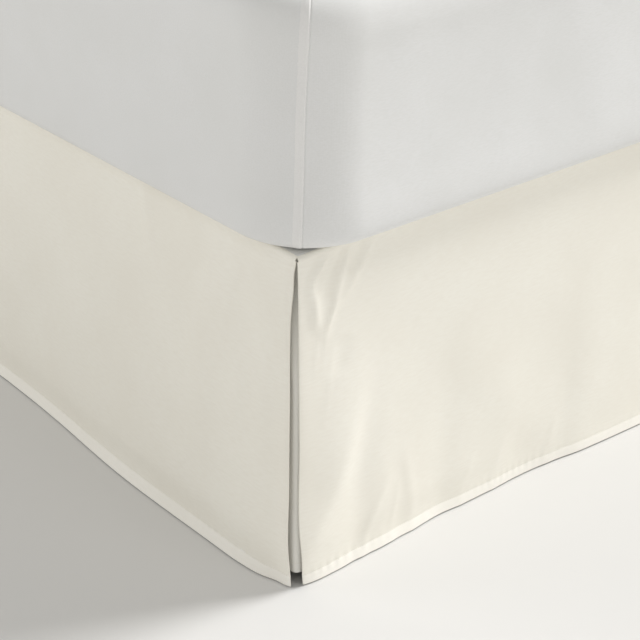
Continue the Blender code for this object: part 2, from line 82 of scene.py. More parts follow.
def linear(hex_colour: str) -> tuple[float, float, float, float]:
    """Turn an sRGB hex colour into the linear values that a shader takes.

    Args:
        hex_colour: Six hex digits after a hash mark.

    Returns:
        Red, green, blue and an alpha of 1.
    """
    parts = [int(hex_colour[start:start + 2], 16) / 255.0 for start in (1, 3, 5)]
    turned = [part / 12.92 if part <= 0.04045 else ((part + 0.055) / 1.055) ** 2.4 for part in parts]
    return (turned[0], turned[1], turned[2], 1.0)


def add_node(
    tree: bpy.types.NodeTree, kind: str, inputs: dict[Any, Any] | None = None, **settings: Any
) -> bpy.types.Node:
    """Add one node with its settings, and give its sockets values or links.

    Args:
        tree: The tree that gets the node.
        kind: Blender's name of the node's type.
        inputs: Values, or sockets to link from, by socket name or number.
        settings: Properties of the node itself.

    Returns:
        The new node.
    """
    node = tree.nodes.new(kind)
    for name, value in settings.items():
        setattr(node, name, value)
    for name, value in (inputs or {}).items():
        socket = node.inputs[name]
        if isinstance(value, bpy.types.NodeSocket):
            tree.links.new(value, socket)
        else:
            socket.default_value = value
    return node


# Finishes

class Place(Enum):
    """What a finish measures its pattern on."""

    CLOTH = "cloth"
    OBJECT = "object"


@dataclass(frozen=True)
class ClothFinish:
    """Woven or knitted cloth: two close tones, threads, slubs and a soft sheen.

    Attributes:
        name: The material's name.
        light: Its paler tone, sRGB hex.
        deep: Its deeper tone, sRGB hex.
        thread: Thread spacing, drawn coarse enough to show, in metres.
        slub: Length of the uneven places in the threads, in metres.
        relief: How strongly the threads stand out, from 0 to 1.
        roughness: Roughness of the fibres.
        sheen: Weight of the soft rim light that brushed fibres give.
        place: Whether threads follow the cut or the piece's own axes.
    """

    name: str
    light: str
    deep: str
    thread: float
    slub: float
    relief: float
    roughness: float
    sheen: float
    place: Place

    def make(self) -> bpy.types.Material:
        """Build the node material."""
        material, tree, shader = new_material(self.name)
        where = add_node(tree, "ShaderNodeTexCoord")
        if self.place is Place.CLOTH:
            point = add_node(tree, "ShaderNodeUVMap", uv_map="cloth").outputs["UV"]
        else:
            point = where.outputs["Object"]
        # Broad unevenness of the dye, a few centimetres across
        clouds = add_node(
            tree, "ShaderNodeTexNoise",
            {"Vector": where.outputs["Object"], "Scale": 9.0, "Detail": 3.0, "Roughness": 0.5},
        )
        # Slubs run along the threads, so the noise is stretched one way
        long_way = add_node(
            tree, "ShaderNodeMapping", {"Vector": point, "Scale": (0.22, 1.0, 1.0)}
        )
        slubs = add_node(
            tree, "ShaderNodeTexNoise",
            {"Vector": long_way.outputs["Vector"], "Scale": 1.0 / self.slub, "Detail": 4.0},
        )
        tone = add_node(
            tree, "ShaderNodeMath",
            {0: clouds.outputs["Fac"], 1: slubs.outputs["Fac"]}, operation="MULTIPLY",
        )
        spread = add_node(
            tree, "ShaderNodeMapRange",
            {"Value": tone.outputs["Value"], "From Min": 0.12, "From Max": 0.38},
        )
        colour = add_node(
            tree, "ShaderNodeMix",
            {"Factor": spread.outputs["Result"], 6: linear(self.deep), 7: linear(self.light)},
            data_type="RGBA",
        )
        # Warp and weft as two crossing rows of round threads
        rows = []
        for direction in ("X", "Y"):
            rows.append(
                add_node(
                    tree, "ShaderNodeTexWave",
                    {"Vector": point, "Scale": 0.314 / self.thread, "Distortion": 0.6,
                     "Detail": 1.0, "Detail Scale": 1.5},
                    wave_type="BANDS", bands_direction=direction, wave_profile="SIN",
                ).outputs["Fac"]
            )
        weave = add_node(tree, "ShaderNodeMath", {0: rows[0], 1: rows[1]}, operation="MULTIPLY")
        height = add_node(
            tree, "ShaderNodeMath",
            {0: slubs.outputs["Fac"], 1: 0.6, 2: weave.outputs["Value"]}, operation="MULTIPLY_ADD",
        )
        bump = add_node(
            tree, "ShaderNodeBump",
            {"Height": height.outputs["Value"], "Strength": self.relief, "Distance": 0.25 * MM},
        )
        tree.links.new(colour.outputs[2], shader.inputs["Base Color"])
        tree.links.new(bump.outputs["Normal"], shader.inputs["Normal"])
        shader.inputs["Roughness"].default_value = self.roughness
        shader.inputs["Sheen Weight"].default_value = self.sheen
        shader.inputs["Sheen Roughness"].default_value = 0.45
        shader.inputs["Sheen Tint"].default_value = linear(self.light)
        shader.inputs["Specular IOR Level"].default_value = 0.25
        return material


@dataclass(frozen=True)
class HardFinish:
    """Painted, plated or moulded surface: one colour, a fine skin and worn-looking gloss.

    Attributes:
        name: The material's name.
        light: Its paler tone, sRGB hex.
        deep: Its deeper tone, sRGB hex.
        grain: Width of the skin's texture, in metres.
        relief: How strongly the texture stands out.
        smooth: Roughness of its glossiest places.
        rough: Roughness of its dullest places.
        metallic: 1 for bare metal.
    """

    name: str
    light: str
    deep: str
    grain: float
    relief: float
    smooth: float
    rough: float
    metallic: float = 0.0

    def make(self) -> bpy.types.Material:
        """Build the node material."""
        material, tree, shader = new_material(self.name)
        where = add_node(tree, "ShaderNodeTexCoord")
        skin = add_node(
            tree, "ShaderNodeTexNoise",
            {"Vector": where.outputs["Object"], "Scale": 1.0 / self.grain, "Detail": 2.0},
        )
        broad = add_node(
            tree, "ShaderNodeTexNoise",
            {"Vector": where.outputs["Object"], "Scale": 22.0, "Detail": 4.0, "Roughness": 0.6},
        )
        colour = add_node(
            tree, "ShaderNodeMix",
            {"Factor": broad.outputs["Fac"], 6: linear(self.deep), 7: linear(self.light)},
            data_type="RGBA",
        )
        gloss = add_node(
            tree, "ShaderNodeMapRange",
            {"Value": broad.outputs["Fac"], "To Min": self.smooth, "To Max": self.rough},
        )
        bump = add_node(
            tree, "ShaderNodeBump",
            {"Height": skin.outputs["Fac"], "Strength": self.relief, "Distance": 0.2 * MM},
        )
        tree.links.new(colour.outputs[2], shader.inputs["Base Color"])
        tree.links.new(gloss.outputs["Result"], shader.inputs["Roughness"])
        tree.links.new(bump.outputs["Normal"], shader.inputs["Normal"])
        shader.inputs["Metallic"].default_value = self.metallic
        return material


def new_material(name: str) -> tuple[bpy.types.Material, bpy.types.NodeTree, bpy.types.Node]:
    """Make a node material.

    Args:
        name: The material's name.

    Returns:
        The material, its node tree and its Principled shader.
    """
    material = bpy.data.materials.new(name)
    material.use_nodes = True
    tree = material.node_tree
    return material, tree, tree.nodes["Principled BSDF"]


@dataclass
class Palette:
    """Every material of the bed, made once.

    Attributes:
        made: The materials by name.
    """

    made: dict[str, bpy.types.Material] = field(default_factory=dict)

    # Brushed polyester microfibre, plain weave, dyed cream. The raised fibres make it matt
    # with a faint sheen at a grazing view. Its threads are 0.2 mm apart and drawn at 0.9 mm.
    MICROFIBRE = ClothFinish(
        "brushed microfibre, cream", "#f8f5eb", "#f4f0e5", 0.9 * MM, 2.4 * MM, 0.12, 0.78, 0.22,
        Place.CLOTH,
    )
    # The same cloth painted paler on the underlay: painted light against the shade of the corner's slit
    MICROFIBRE_INNER_PAINTED_LIT = ClothFinish(
        "brushed microfibre, cream, inner", "#fcfaf4", "#f9f7f0", 0.9 * MM, 2.4 * MM, 0.12, 0.78,
        0.22, Place.CLOTH,
    )
    # The same cloth painted paler in the hem: a painted highlight along the hem band
    MICROFIBRE_HEM_PAINTED_LIT = ClothFinish(
        "brushed microfibre, cream, hem", "#fdfaf2", "#faf7ee", 0.9 * MM, 2.4 * MM, 0.12, 0.78,
        0.22, Place.CLOTH,
    )
    # Plain woven cotton and polyester sheeting of the platform: greyer, thin and dull
    PLATFORM = ClothFinish(
        "platform sheeting, plain woven", "#e9e9e6", "#dddcd8", 1.1 * MM, 3.0 * MM, 0.22, 0.85,
        0.08, Place.CLOTH,
    )
    # Cotton jersey of the fitted sheet, stretched over the mattress: fine dry grain
    JERSEY = ClothFinish(
        "cotton jersey sheet, white", "#e8e8e7", "#e3e3e1", 0.9 * MM, 1.3 * MM, 0.10, 0.88, 0.12,
        Place.OBJECT,
    )
    # The same jersey painted paler where a seam's two layers lie on each other: partly the doubled cloth,
    # partly a painted highlight along the seam band
    JERSEY_DOUBLED_AND_PAINTED_LIT = ClothFinish(
        "cotton jersey sheet, doubled at a seam", "#eeedeb", "#e9e8e6", 0.9 * MM, 1.3 * MM, 0.10,
        0.88, 0.12, Place.OBJECT,
    )
    # Woven ticking of the box spring's border: off-white, a little coarser than the sheet
    TICKING = ClothFinish(
        "woven ticking, off-white", "#dedcd4", "#cfccc2", 1.6 * MM, 3.4 * MM, 0.35, 0.86, 0.10,
        Place.OBJECT,
    )
    # Spun-bonded polypropylene dust cover, dark grey: thin fibres pressed flat, no threads
    DUST_COVER = ClothFinish(
        "spun-bonded dust cover, grey", "#55565a", "#43444a", 2.2 * MM, 1.4 * MM, 0.30, 0.92,
        0.05, Place.OBJECT,
    )
    # Spun polyester sewing thread: paler than the cloth, with a slight gloss on each stitch
    THREAD = ClothFinish(
        "spun polyester thread, cream", "#f4f0e6", "#e9e3d5", 0.3 * MM, 0.6 * MM, 0.30, 0.55,
        0.25, Place.OBJECT,
    )
    # Powder-coated steel, charcoal: satin, with the orange-peel skin that baking leaves
    POWDER_COAT = HardFinish(
        "powder-coated steel, charcoal", "#4a4b4e", "#3a3b3e", 1.3 * MM, 0.25, 0.38, 0.52,
    )
    # Moulded polypropylene of glides and end caps: black, slightly waxy
    MOULDED = HardFinish(
        "moulded polypropylene, black", "#2b2c2e", "#1f2022", 0.6 * MM, 0.18, 0.42, 0.58,
    )
    # Zinc-plated steel of the bolts and staples: bright but a little clouded
    ZINC = HardFinish(
        "zinc-plated steel", "#c9cbcd", "#a9acb0", 0.5 * MM, 0.10, 0.24, 0.42, 1.0,
    )

    def get(self, finish: ClothFinish | HardFinish) -> bpy.types.Material:
        """Make a finish's material once, then hand out the same one."""
        if finish.name not in self.made:
            self.made[finish.name] = finish.make()
        return self.made[finish.name]


# Curves and shared shapes

def smooth_step(value: Array | float) -> Array:
    """0 below 0, 1 above 1, and a soft curve between."""
    value = np.clip(value, 0.0, 1.0)
    return value * value * (3.0 - 2.0 * value)


def bell(distance: Array | float, width: float) -> Array:
    """A soft hump of height 1, as wide as width at about a third of its height."""
    return np.exp(-((np.asarray(distance) / (0.5 * width)) ** 2))


def smooth_curve(places: Sequence[float], values: Sequence[float], at: Array | float) -> Array:
    """Read a curve through values, with the slopes that their neighbours give.

    Args:
        places: Where the values stand, rising.
        values: The values there.
        at: Where to read the curve.

    Returns:
        The curve's values, level beyond its ends.
    """
    places = np.asarray(places, float)
    values = np.asarray(values, float)
    slopes = np.gradient(values, places)
    low = np.clip(np.searchsorted(places, at) - 1, 0, len(places) - 2)
    span = places[low + 1] - places[low]
    part = np.clip((at - places[low]) / span, 0.0, 1.0)
    ease = part * part * (3.0 - 2.0 * part)
    start = part * (1.0 - part) ** 2 * slopes[low] * span
    end = part * part * (part - 1.0) * slopes[low + 1] * span
    return values[low] + (values[low + 1] - values[low]) * ease + start + end


@dataclass(frozen=True)
class Hang:
    """One station of a drop: how far its hem stands out of the skirt plane."""

    along: float
    hem_out: float


@dataclass(frozen=True)
class Tuck:
    """One station of a hem: how far its stitching has drawn the cloth in."""

    along: float
    depth: float


@dataclass(frozen=True)
class Fold:
    """One soft ridge or trough of cloth that runs down a drop.

    Attributes:
        path: Places along it from its upper end down, each as distance along and height.
        width: Its width across.
        depth: How far it lifts the cloth outwards.
        fade: Share of its height over which each end dies away.
        open_low: Whether it runs out over the hem at full depth.
        slow: How many times wider its flank towards the first corner is.
    """

    path: tuple[tuple[float, float], ...]
    width: float
    depth: float
    fade: float = 0.35
    open_low: bool = False
    slow: float = 1.0

    def lift(self, along: Array, height: Array | float) -> Array:
        """How far it lifts the cloth at each place."""
        places = np.array(self.path)[::-1]
        low, top = places[0, 1], places[-1, 1]
        middle = smooth_curve(places[:, 1], places[:, 0], np.clip(height, low, top))
        run = (top - height) / (top - low)
        fade = smooth_step(run / self.fade + 0.5)
        if not self.open_low:
            fade = fade * smooth_step((1.0 - run) / self.fade + 0.5)
        away = along - middle
        away = np.where(away < 0.0, away / self.slow, away)
        return self.depth * bell(away, self.width) * fade


@dataclass(frozen=True)
class Band:
    """A soft level band that follows the hem: where the cloth bellies in or out."""

    first_along: float
    last_along: float
    height: float
    width: float
    depth: float

    def lift(self, along: Array, height: Array | float) -> Array:
        """How far it lifts the cloth at each place."""
        ease = 0.35 * (self.last_along - self.first_along)
        shown = smooth_step((along - self.first_along) / ease)
        shown = shown * smooth_step((self.last_along - along) / ease)
        return self.depth * bell(height - self.height, self.width) * shown


@dataclass(frozen=True)
class Edge:
    """How far a drop's folded edge has drawn back from the corner at a height."""

    height: float
    back: float


@dataclass(frozen=True)
class Side:
    """Where a drop hangs: its first corner, the way along it and the way out of it."""

    corner: tuple[float, float]
    along: tuple[float, float]
    outward: tuple[float, float]

    def place(self, grid: Array) -> Array:
        """Turn grid points of along, out and height into x, y and z."""
        spot = np.zeros(grid.shape)
        spot[..., :2] = np.asarray(self.corner)
        spot[..., :2] += grid[..., :1] * np.asarray(self.along)
        spot[..., :2] += grid[..., 1:2] * np.asarray(self.outward)
        spot[..., 2] = grid[..., 2]
        return spot

    def faces_in(self) -> bool:
        """Whether a grid that runs along this side and down has its face inwards."""
        return self.along[1] * self.outward[0] - self.along[0] * self.outward[1] < 0.0


LEFT_SIDE = Side((-HALF_WIDTH, -HALF_LENGTH), (0.0, 1.0), (-1.0, 0.0))
RIGHT_SIDE = Side((HALF_WIDTH, -HALF_LENGTH), (0.0, 1.0), (1.0, 0.0))
FOOT_SIDE = Side((-HALF_WIDTH, -HALF_LENGTH), (1.0, 0.0), (0.0, -1.0))


def tip_sag(distance: Array | float) -> Array:
    """How far the platform's corner hangs down, at a distance from the skirt's corner."""
    return TIP_SAG * bell(distance, TIP_REACH)


def uneven(along: Array, height: Array | float, seed: int) -> Array:
    """The faint unevenness of hanging cloth, as a few long crossing waves.

    Args:
        along: Distance along the cloth.
        height: Height above the floor.
        seed: Fixes the waves, so that each run gives the same cloth.

    Returns:
        A value between about -1 and 1 at each place.
    """
    random = np.random.default_rng(seed)
    total = 0.0
    for wavelength in UNEVEN_WAVES:
        turn = random.uniform(-0.9, 0.9)
        start = random.uniform(0.0, 2.0 * math.pi)
        across = along * math.cos(turn) + height * math.sin(turn)
        total = total + wavelength * np.sin(2.0 * math.pi * across / wavelength + start)
    return total / UNEVEN_RANGE


def sheet_mesh(name: str, outer: Array, behind: Array, used: Array, cut: Array) -> bpy.types.Mesh:
    """Make a closed sheet on a grid of points.

    Args:
        name: The mesh's name.
        outer: Rows by columns of points on the cloth's outer face.
        behind: The cloth's thickness at each point.
        used: Which cells of the grid are cloth.
        cut: Each point's place on the flat cut, in metres.

    Returns:
        The mesh, with a UV map named cloth in metres.
    """
    rows, columns = outer.shape[:2]
    normal = np.cross(np.gradient(outer, axis=0), np.gradient(outer, axis=1))
    # Cells outside the cloth may have no face, so their length is kept above zero
    normal /= np.maximum(np.linalg.norm(normal, axis=2, keepdims=True), 1e-12)
    back = outer - normal * behind[:, :, None]
    number = np.arange(rows * columns).reshape(rows, columns)
    low_left, low_right = number[1:, :-1], number[1:, 1:]
    top_left, top_right = number[:-1, :-1], number[:-1, 1:]
    front = np.stack([top_left, low_left, low_right, top_right], axis=-1)[used]
    faces = [front, front[:, ::-1] + rows * columns]
    padded = np.pad(used, 1)
    sides = (
        (padded[1:-1, :-2], top_left, low_left),
        (padded[2:, 1:-1], low_left, low_right),
        (padded[1:-1, 2:], low_right, top_right),
        (padded[:-2, 1:-1], top_right, top_left),
    )
    for beside, first, second in sides:
        open_side = used & ~beside
        one, two = first[open_side], second[open_side]
        faces.append(np.stack([two, one, one + rows * columns, two + rows * columns], axis=-1))
    return quad_mesh(
        name,
        np.concatenate([outer.reshape(-1, 3), back.reshape(-1, 3)]),
        np.concatenate(faces),
        np.concatenate([cut.reshape(-1, 2)] * 2),
    )


def quad_mesh(
    name: str, points: Array, quads: Array, cut: Array | None = None, caps: Sequence[list[int]] = ()
) -> bpy.types.Mesh:
    """Make a mesh of quads, leaving out points that no face uses.

    Args:
        name: The mesh's name.
        points: The points.
        quads: Four point numbers a face.
        cut: Each point's place on the flat cut, or None for no UV map.
        caps: Faces of any count that close the mesh.

    Returns:
        The smooth-shaded mesh.
    """
    listed = quads.reshape(-1).tolist()
    kept, turned = np.unique(listed + [index for cap in caps for index in cap], return_inverse=True)
    count = len(quads)
    new_quads = turned[: 4 * count].reshape(-1, 4)
    new_faces = new_quads.tolist()
    start = 4 * count
    for cap in caps:
        new_faces.append(turned[start : start + len(cap)].tolist())
        start += len(cap)
    mesh = bpy.data.meshes.new(name)
    mesh.from_pydata(points[kept].tolist(), [], new_faces)
    if cut is not None:
        layer = mesh.uv_layers.new(name="cloth")
        corners = np.empty(len(mesh.loops), np.int32)
        mesh.loops.foreach_get("vertex_index", corners)
        layer.data.foreach_set("uv", cut[kept][corners].astype(np.float32).reshape(-1))
    mesh.shade_smooth()
    mesh.set_sharp_from_angle(angle=math.radians(55.0))
    mesh.validate()
    mesh.update()
    return mesh


def ring_mesh(name: str, rings: Sequence[Array]) -> bpy.types.Mesh:
    """Loft a closed solid through rings of equal count, from its lowest ring to its highest."""
    count = len(rings[0])
    points = np.concatenate(rings)
    index = np.arange(count)
    after = np.roll(index, -1)
    quads = []
    for level in range(len(rings) - 1):
        low, high = level * count, (level + 1) * count
        quads.append(np.stack([index + low, after + low, after + high, index + high], axis=-1))
    last = (len(rings) - 1) * count
    caps = [index[::-1].tolist(), (index + last).tolist()]
    return quad_mesh(name, points, np.concatenate(quads), caps=caps)


def tube_mesh(name: str, path: Array, radius: float, sides: int, closed: bool) -> bpy.types.Mesh:
    """Sweep a round section along a path.

    Args:
        name: The mesh's name.
        path: The path's points.
        radius: The section's radius.
        sides: How many sides the section has.
        closed: Whether the path's end meets its start.

    Returns:
        The closed mesh.
    """
    if closed:
        tangent = np.roll(path, -1, axis=0) - np.roll(path, 1, axis=0)
    else:
        tangent = np.gradient(path, axis=0)
    tangent /= np.linalg.norm(tangent, axis=1, keepdims=True)
    upward = np.array([0.0, 0.0, 1.0])
    beside = np.cross(tangent, upward)
    beside /= np.maximum(np.linalg.norm(beside, axis=1, keepdims=True), 1e-9)
    above = np.cross(beside, tangent)
    turns = 2.0 * math.pi * np.arange(sides) / sides
    around = beside[:, None] * np.cos(turns)[None, :, None] + above[:, None] * np.sin(turns)[None, :, None]
    points = path[:, None] + radius * around
    number = np.arange(len(path) * sides).reshape(len(path), sides)
    ahead = np.roll(number, -1, axis=0)
    round_on = np.roll(number, -1, axis=1)
    both = np.roll(ahead, -1, axis=1)
    quads = np.stack([number, ahead, both, round_on], axis=-1)
    if not closed:
        quads = quads[:-1]
    caps = [] if closed else [number[0].tolist(), number[-1][::-1].tolist()]
    return quad_mesh(name, points.reshape(-1, 3), quads.reshape(-1, 4), caps=caps)


@dataclass(frozen=True)
class Turn:
    """One step of a turned profile: its radius, its height, and whether it is a hexagon."""

    radius: float
    height: float
    hexagon: bool = False


def turned_mesh(name: str, profile: Sequence[Turn], sides: int) -> bpy.types.Mesh:
    """Turn a profile round +Z into a closed solid.

    Args:
        name: The mesh's name.
        profile: The steps from the lowest to the highest.
        sides: How many sides it has, a multiple of 12.

    Returns:
        The closed mesh.
    """
    turns = 2.0 * math.pi * np.arange(sides) / sides
    flat = np.cos(math.pi / 6.0) / np.cos(np.mod(turns, math.pi / 3.0) - math.pi / 6.0)
    rings = []
    for step in profile:
        reach = step.radius * (flat if step.hexagon else np.ones(sides))
        level = np.full(sides, step.height)
        rings.append(np.stack([reach * np.cos(turns), reach * np.sin(turns), level], axis=-1))
    return ring_mesh(name, rings)


def rounded_outline(width: float, length: float, radius: float, places: Array) -> Array:
    """Read a round-cornered rectangle at shares of its way round.

    Args:
        width: Its size across X.
        length: Its size along Y.
        radius: Its corners' radius.
        places: Shares of the way round. Each side and each corner has one unit of 8, from
            the middle of the foot corner at the left, anticlockwise seen from above.

    Returns:
        Plan points.
    """
    half_x = 0.5 * width - radius
    half_y = 0.5 * length - radius
    corners = ((-half_x, -half_y), (half_x, -half_y), (half_x, half_y), (-half_x, half_y))
    starts = (math.pi, 1.5 * math.pi, 0.0, 0.5 * math.pi)
    points = np.zeros((len(places), 2))
    for index, place in enumerate(places):
        unit = int(place) % 8
        part = place - int(place)
        quarter = unit // 2
        centre = np.array(corners[quarter])
        if unit % 2 == 0:
            turn = starts[quarter] + 0.5 * math.pi * part
            points[index] = centre + radius * np.array([math.cos(turn), math.sin(turn)])
            continue
        turn = starts[quarter] + 0.5 * math.pi
        away = radius * np.array([math.cos(turn), math.sin(turn)])
        following = np.array(corners[(quarter + 1) % 4])
        points[index] = centre + away + (following - centre) * part
    return points


def add_piece(
    name: str, mesh: bpy.types.Mesh, material: bpy.types.Material, nodes: Sequence[str] = ()
) -> bpy.types.Object:
    """Put a finished mesh in the scene and tie it to the frame.

    Args:
        name: The piece's name.
        mesh: Its mesh, in place.
        material: Its material.
        nodes: The CAD nodes that it stands for.

    Returns:
        The piece.
    """
    piece = bpy.data.objects.new(name, mesh)
    bpy.context.scene.collection.objects.link(piece)
    mesh.materials.clear()
    mesh.materials.append(material)
    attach(piece, BODY)
    if nodes:
        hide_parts(*nodes)
    LOG.info("%s: %d faces", name, len(mesh.polygons))
    return piece


# Things that repeat, by Geometry Nodes

def repeat_tree(name: str, shape: Callable[[bpy.types.NodeTree, Any], Any]) -> bpy.types.NodeTree:
    """Build a tree that repeats a small shape at even steps along edges.

    Args:
        name: The tree's name.
        shape: Adds the shape's nodes, given the tree and its inputs, and returns its mesh.

    Returns:
        The tree. Its inputs are Geometry, Step, Length, Thickness and Material.
    """
    tree = bpy.data.node_groups.new(name, "GeometryNodeTree")
    tree.interface.new_socket("Geometry", in_out="INPUT", socket_type="NodeSocketGeometry")
    for label in ("Step", "Length", "Thickness"):
        tree.interface.new_socket(label, in_out="INPUT", socket_type="NodeSocketFloat")
    tree.interface.new_socket("Material", in_out="INPUT", socket_type="NodeSocketMaterial")
    tree.interface.new_socket("Geometry", in_out="OUTPUT", socket_type="NodeSocketGeometry")
    given = add_node(tree, "NodeGroupInput").outputs
    line = add_node(tree, "GeometryNodeMeshToCurve", {"Mesh": given["Geometry"]})
    points = add_node(
        tree, "GeometryNodeCurveToPoints",
        {"Curve": line.outputs["Curve"], "Length": given["Step"]}, mode="LENGTH",
    )
    copies = add_node(
        tree, "GeometryNodeInstanceOnPoints",
        {"Points": points.outputs["Points"], "Instance": shape(tree, given),
         "Rotation": points.outputs["Rotation"]},
    )
    real = add_node(tree, "GeometryNodeRealizeInstances", {"Geometry": copies.outputs["Instances"]})
    dressed = add_node(
        tree, "GeometryNodeSetMaterial",
        {"Geometry": real.outputs["Geometry"], "Material": given["Material"]},
    )
    add_node(tree, "NodeGroupOutput", {"Geometry": dressed.outputs["Geometry"]})
    return tree


def stitch_shape(tree: bpy.types.NodeTree, given: Any) -> bpy.types.NodeSocket:
    """One stitch: a slim thread bead, long along the seam."""
    bead = add_node(tree, "GeometryNodeMeshUVSphere", {"Segments": 6, "Rings": 4, "Radius": 0.5})
    size = add_node(
        tree, "ShaderNodeCombineXYZ",
        {"X": given["Thickness"], "Y": given["Thickness"], "Z": given["Length"]},
    )
    shaped = add_node(
        tree, "GeometryNodeTransform",
        {"Geometry": bead.outputs["Mesh"], "Scale": size.outputs["Vector"]},
    )
    return shaped.outputs["Geometry"]


@dataclass
class StitchMaker:
    """Sews rows of stitches along paths.

    Attributes:
        step: Distance from stitch to stitch.
        length: Length of the thread that shows in each.
        thickness: The thread's thickness, drawn a little stout so that it shows.
    """

    step: float = 3.0 * MM
    length: float = 2.3 * MM
    thickness: float = 0.42 * MM
    tree: bpy.types.NodeTree | None = None

    def sew(
        self, name: str, paths: Sequence[Array], material: bpy.types.Material
    ) -> bpy.types.Object:
        """Make the rows as one piece.

        Args:
            name: The piece's name.
            paths: The rows' points, one array each.
            material: The thread's material.

        Returns:
            The piece.
        """
        if self.tree is None:
            self.tree = repeat_tree("stitch row", stitch_shape)
        edges = []
        start = 0
        for path in paths:
            edges += [(start + step, start + step + 1) for step in range(len(path) - 1)]
            start += len(path)
        guide_mesh = bpy.data.meshes.new(name + "_guide")
        guide_mesh.from_pydata(np.concatenate(paths).tolist(), edges, [])
        guide = bpy.data.objects.new(name + "_guide", guide_mesh)
        bpy.context.scene.collection.objects.link(guide)
        mesh = grown(guide, self.tree, {
            "Step": self.step, "Length": self.length, "Thickness": self.thickness,
            "Material": material,
        })
        mesh.name = name
        mesh.shade_smooth()
        return add_piece(name, mesh, material)


def grown(
    guide: bpy.types.Object, tree: bpy.types.NodeTree, values: dict[str, Any]
) -> bpy.types.Mesh:
    """Run a tree on a guide object and keep its result as a plain mesh.

    Args:
        guide: The object that the tree works on. It is removed.
        tree: The Geometry Nodes tree.
        values: The tree's inputs by name.

    Returns:
        The mesh.
    """
    modifier = guide.modifiers.new("grow", "NODES")
    modifier.node_group = tree
    for item in tree.interface.items_tree:
        if item.in_out == "INPUT" and item.name in values:
            modifier[item.identifier] = values[item.name]
    seen = guide.evaluated_get(bpy.context.evaluated_depsgraph_get())
    mesh = bpy.data.meshes.new_from_object(seen)
    old = guide.data
    bpy.data.objects.remove(guide, do_unlink=True)
    bpy.data.meshes.remove(old)
    return mesh


def placing_tree(name: str) -> bpy.types.NodeTree:
    """Build a tree that sets one small part on each point, its +Z along the point's facing.

    Args:
        name: The tree's name.

    Returns:
        The tree. Its inputs are Geometry, Part and Material.
    """
    tree = bpy.data.node_groups.new(name, "GeometryNodeTree")
    tree.interface.new_socket("Geometry", in_out="INPUT", socket_type="NodeSocketGeometry")
    tree.interface.new_socket("Part", in_out="INPUT", socket_type="NodeSocketObject")
    tree.interface.new_socket("Material", in_out="INPUT", socket_type="NodeSocketMaterial")
    tree.interface.new_socket("Geometry", in_out="OUTPUT", socket_type="NodeSocketGeometry")
    given = add_node(tree, "NodeGroupInput").outputs
    part = add_node(tree, "GeometryNodeObjectInfo", {"Object": given["Part"]})
    facing = add_node(
        tree, "GeometryNodeInputNamedAttribute", {"Name": "facing"}, data_type="FLOAT_VECTOR",
    )
    turn = add_node(
        tree, "FunctionNodeAlignRotationToVector", {"Vector": facing.outputs["Attribute"]}, axis="Z",
    )
    copies = add_node(
        tree, "GeometryNodeInstanceOnPoints",
        {"Points": given["Geometry"], "Instance": part.outputs["Geometry"],
         "Rotation": turn.outputs["Rotation"]},
    )
    real = add_node(tree, "GeometryNodeRealizeInstances", {"Geometry": copies.outputs["Instances"]})
    dressed = add_node(
        tree, "GeometryNodeSetMaterial",
        {"Geometry": real.outputs["Geometry"], "Material": given["Material"]},
    )
    add_node(tree, "NodeGroupOutput", {"Geometry": dressed.outputs["Geometry"]})
    return tree


def set_out(
    name: str, part_mesh: bpy.types.Mesh, places: Sequence[tuple[float, float, float]],
    facings: Sequence[tuple[float, float, float]], material: bpy.types.Material,
) -> bpy.types.Object:
    """Set a small part at several places as one piece.

    Args:
        name: The piece's name.
        part_mesh: The part about its own origin, outwards along +Z.
        places: Where each goes.
        facings: Which way each one's +Z points.
        material: Its material.

    Returns:
        The piece.
    """
    part = bpy.data.objects.new(name + "_part", part_mesh)
    bpy.context.scene.collection.objects.link(part)
    guide_mesh = bpy.data.meshes.new(name + "_guide")
    guide_mesh.from_pydata([tuple(place) for place in places], [], [])
    facing = guide_mesh.attributes.new("facing", "FLOAT_VECTOR", "POINT")
    facing.data.foreach_set("vector", np.array(facings, float).ravel())
    guide = bpy.data.objects.new(name + "_guide", guide_mesh)
    bpy.context.scene.collection.objects.link(guide)
    mesh = grown(guide, placing_tree(name), {"Part": part, "Material": material})
    mesh.name = name
    bpy.data.objects.remove(part, do_unlink=True)
    return add_piece(name, mesh, material)


# The bed skirt

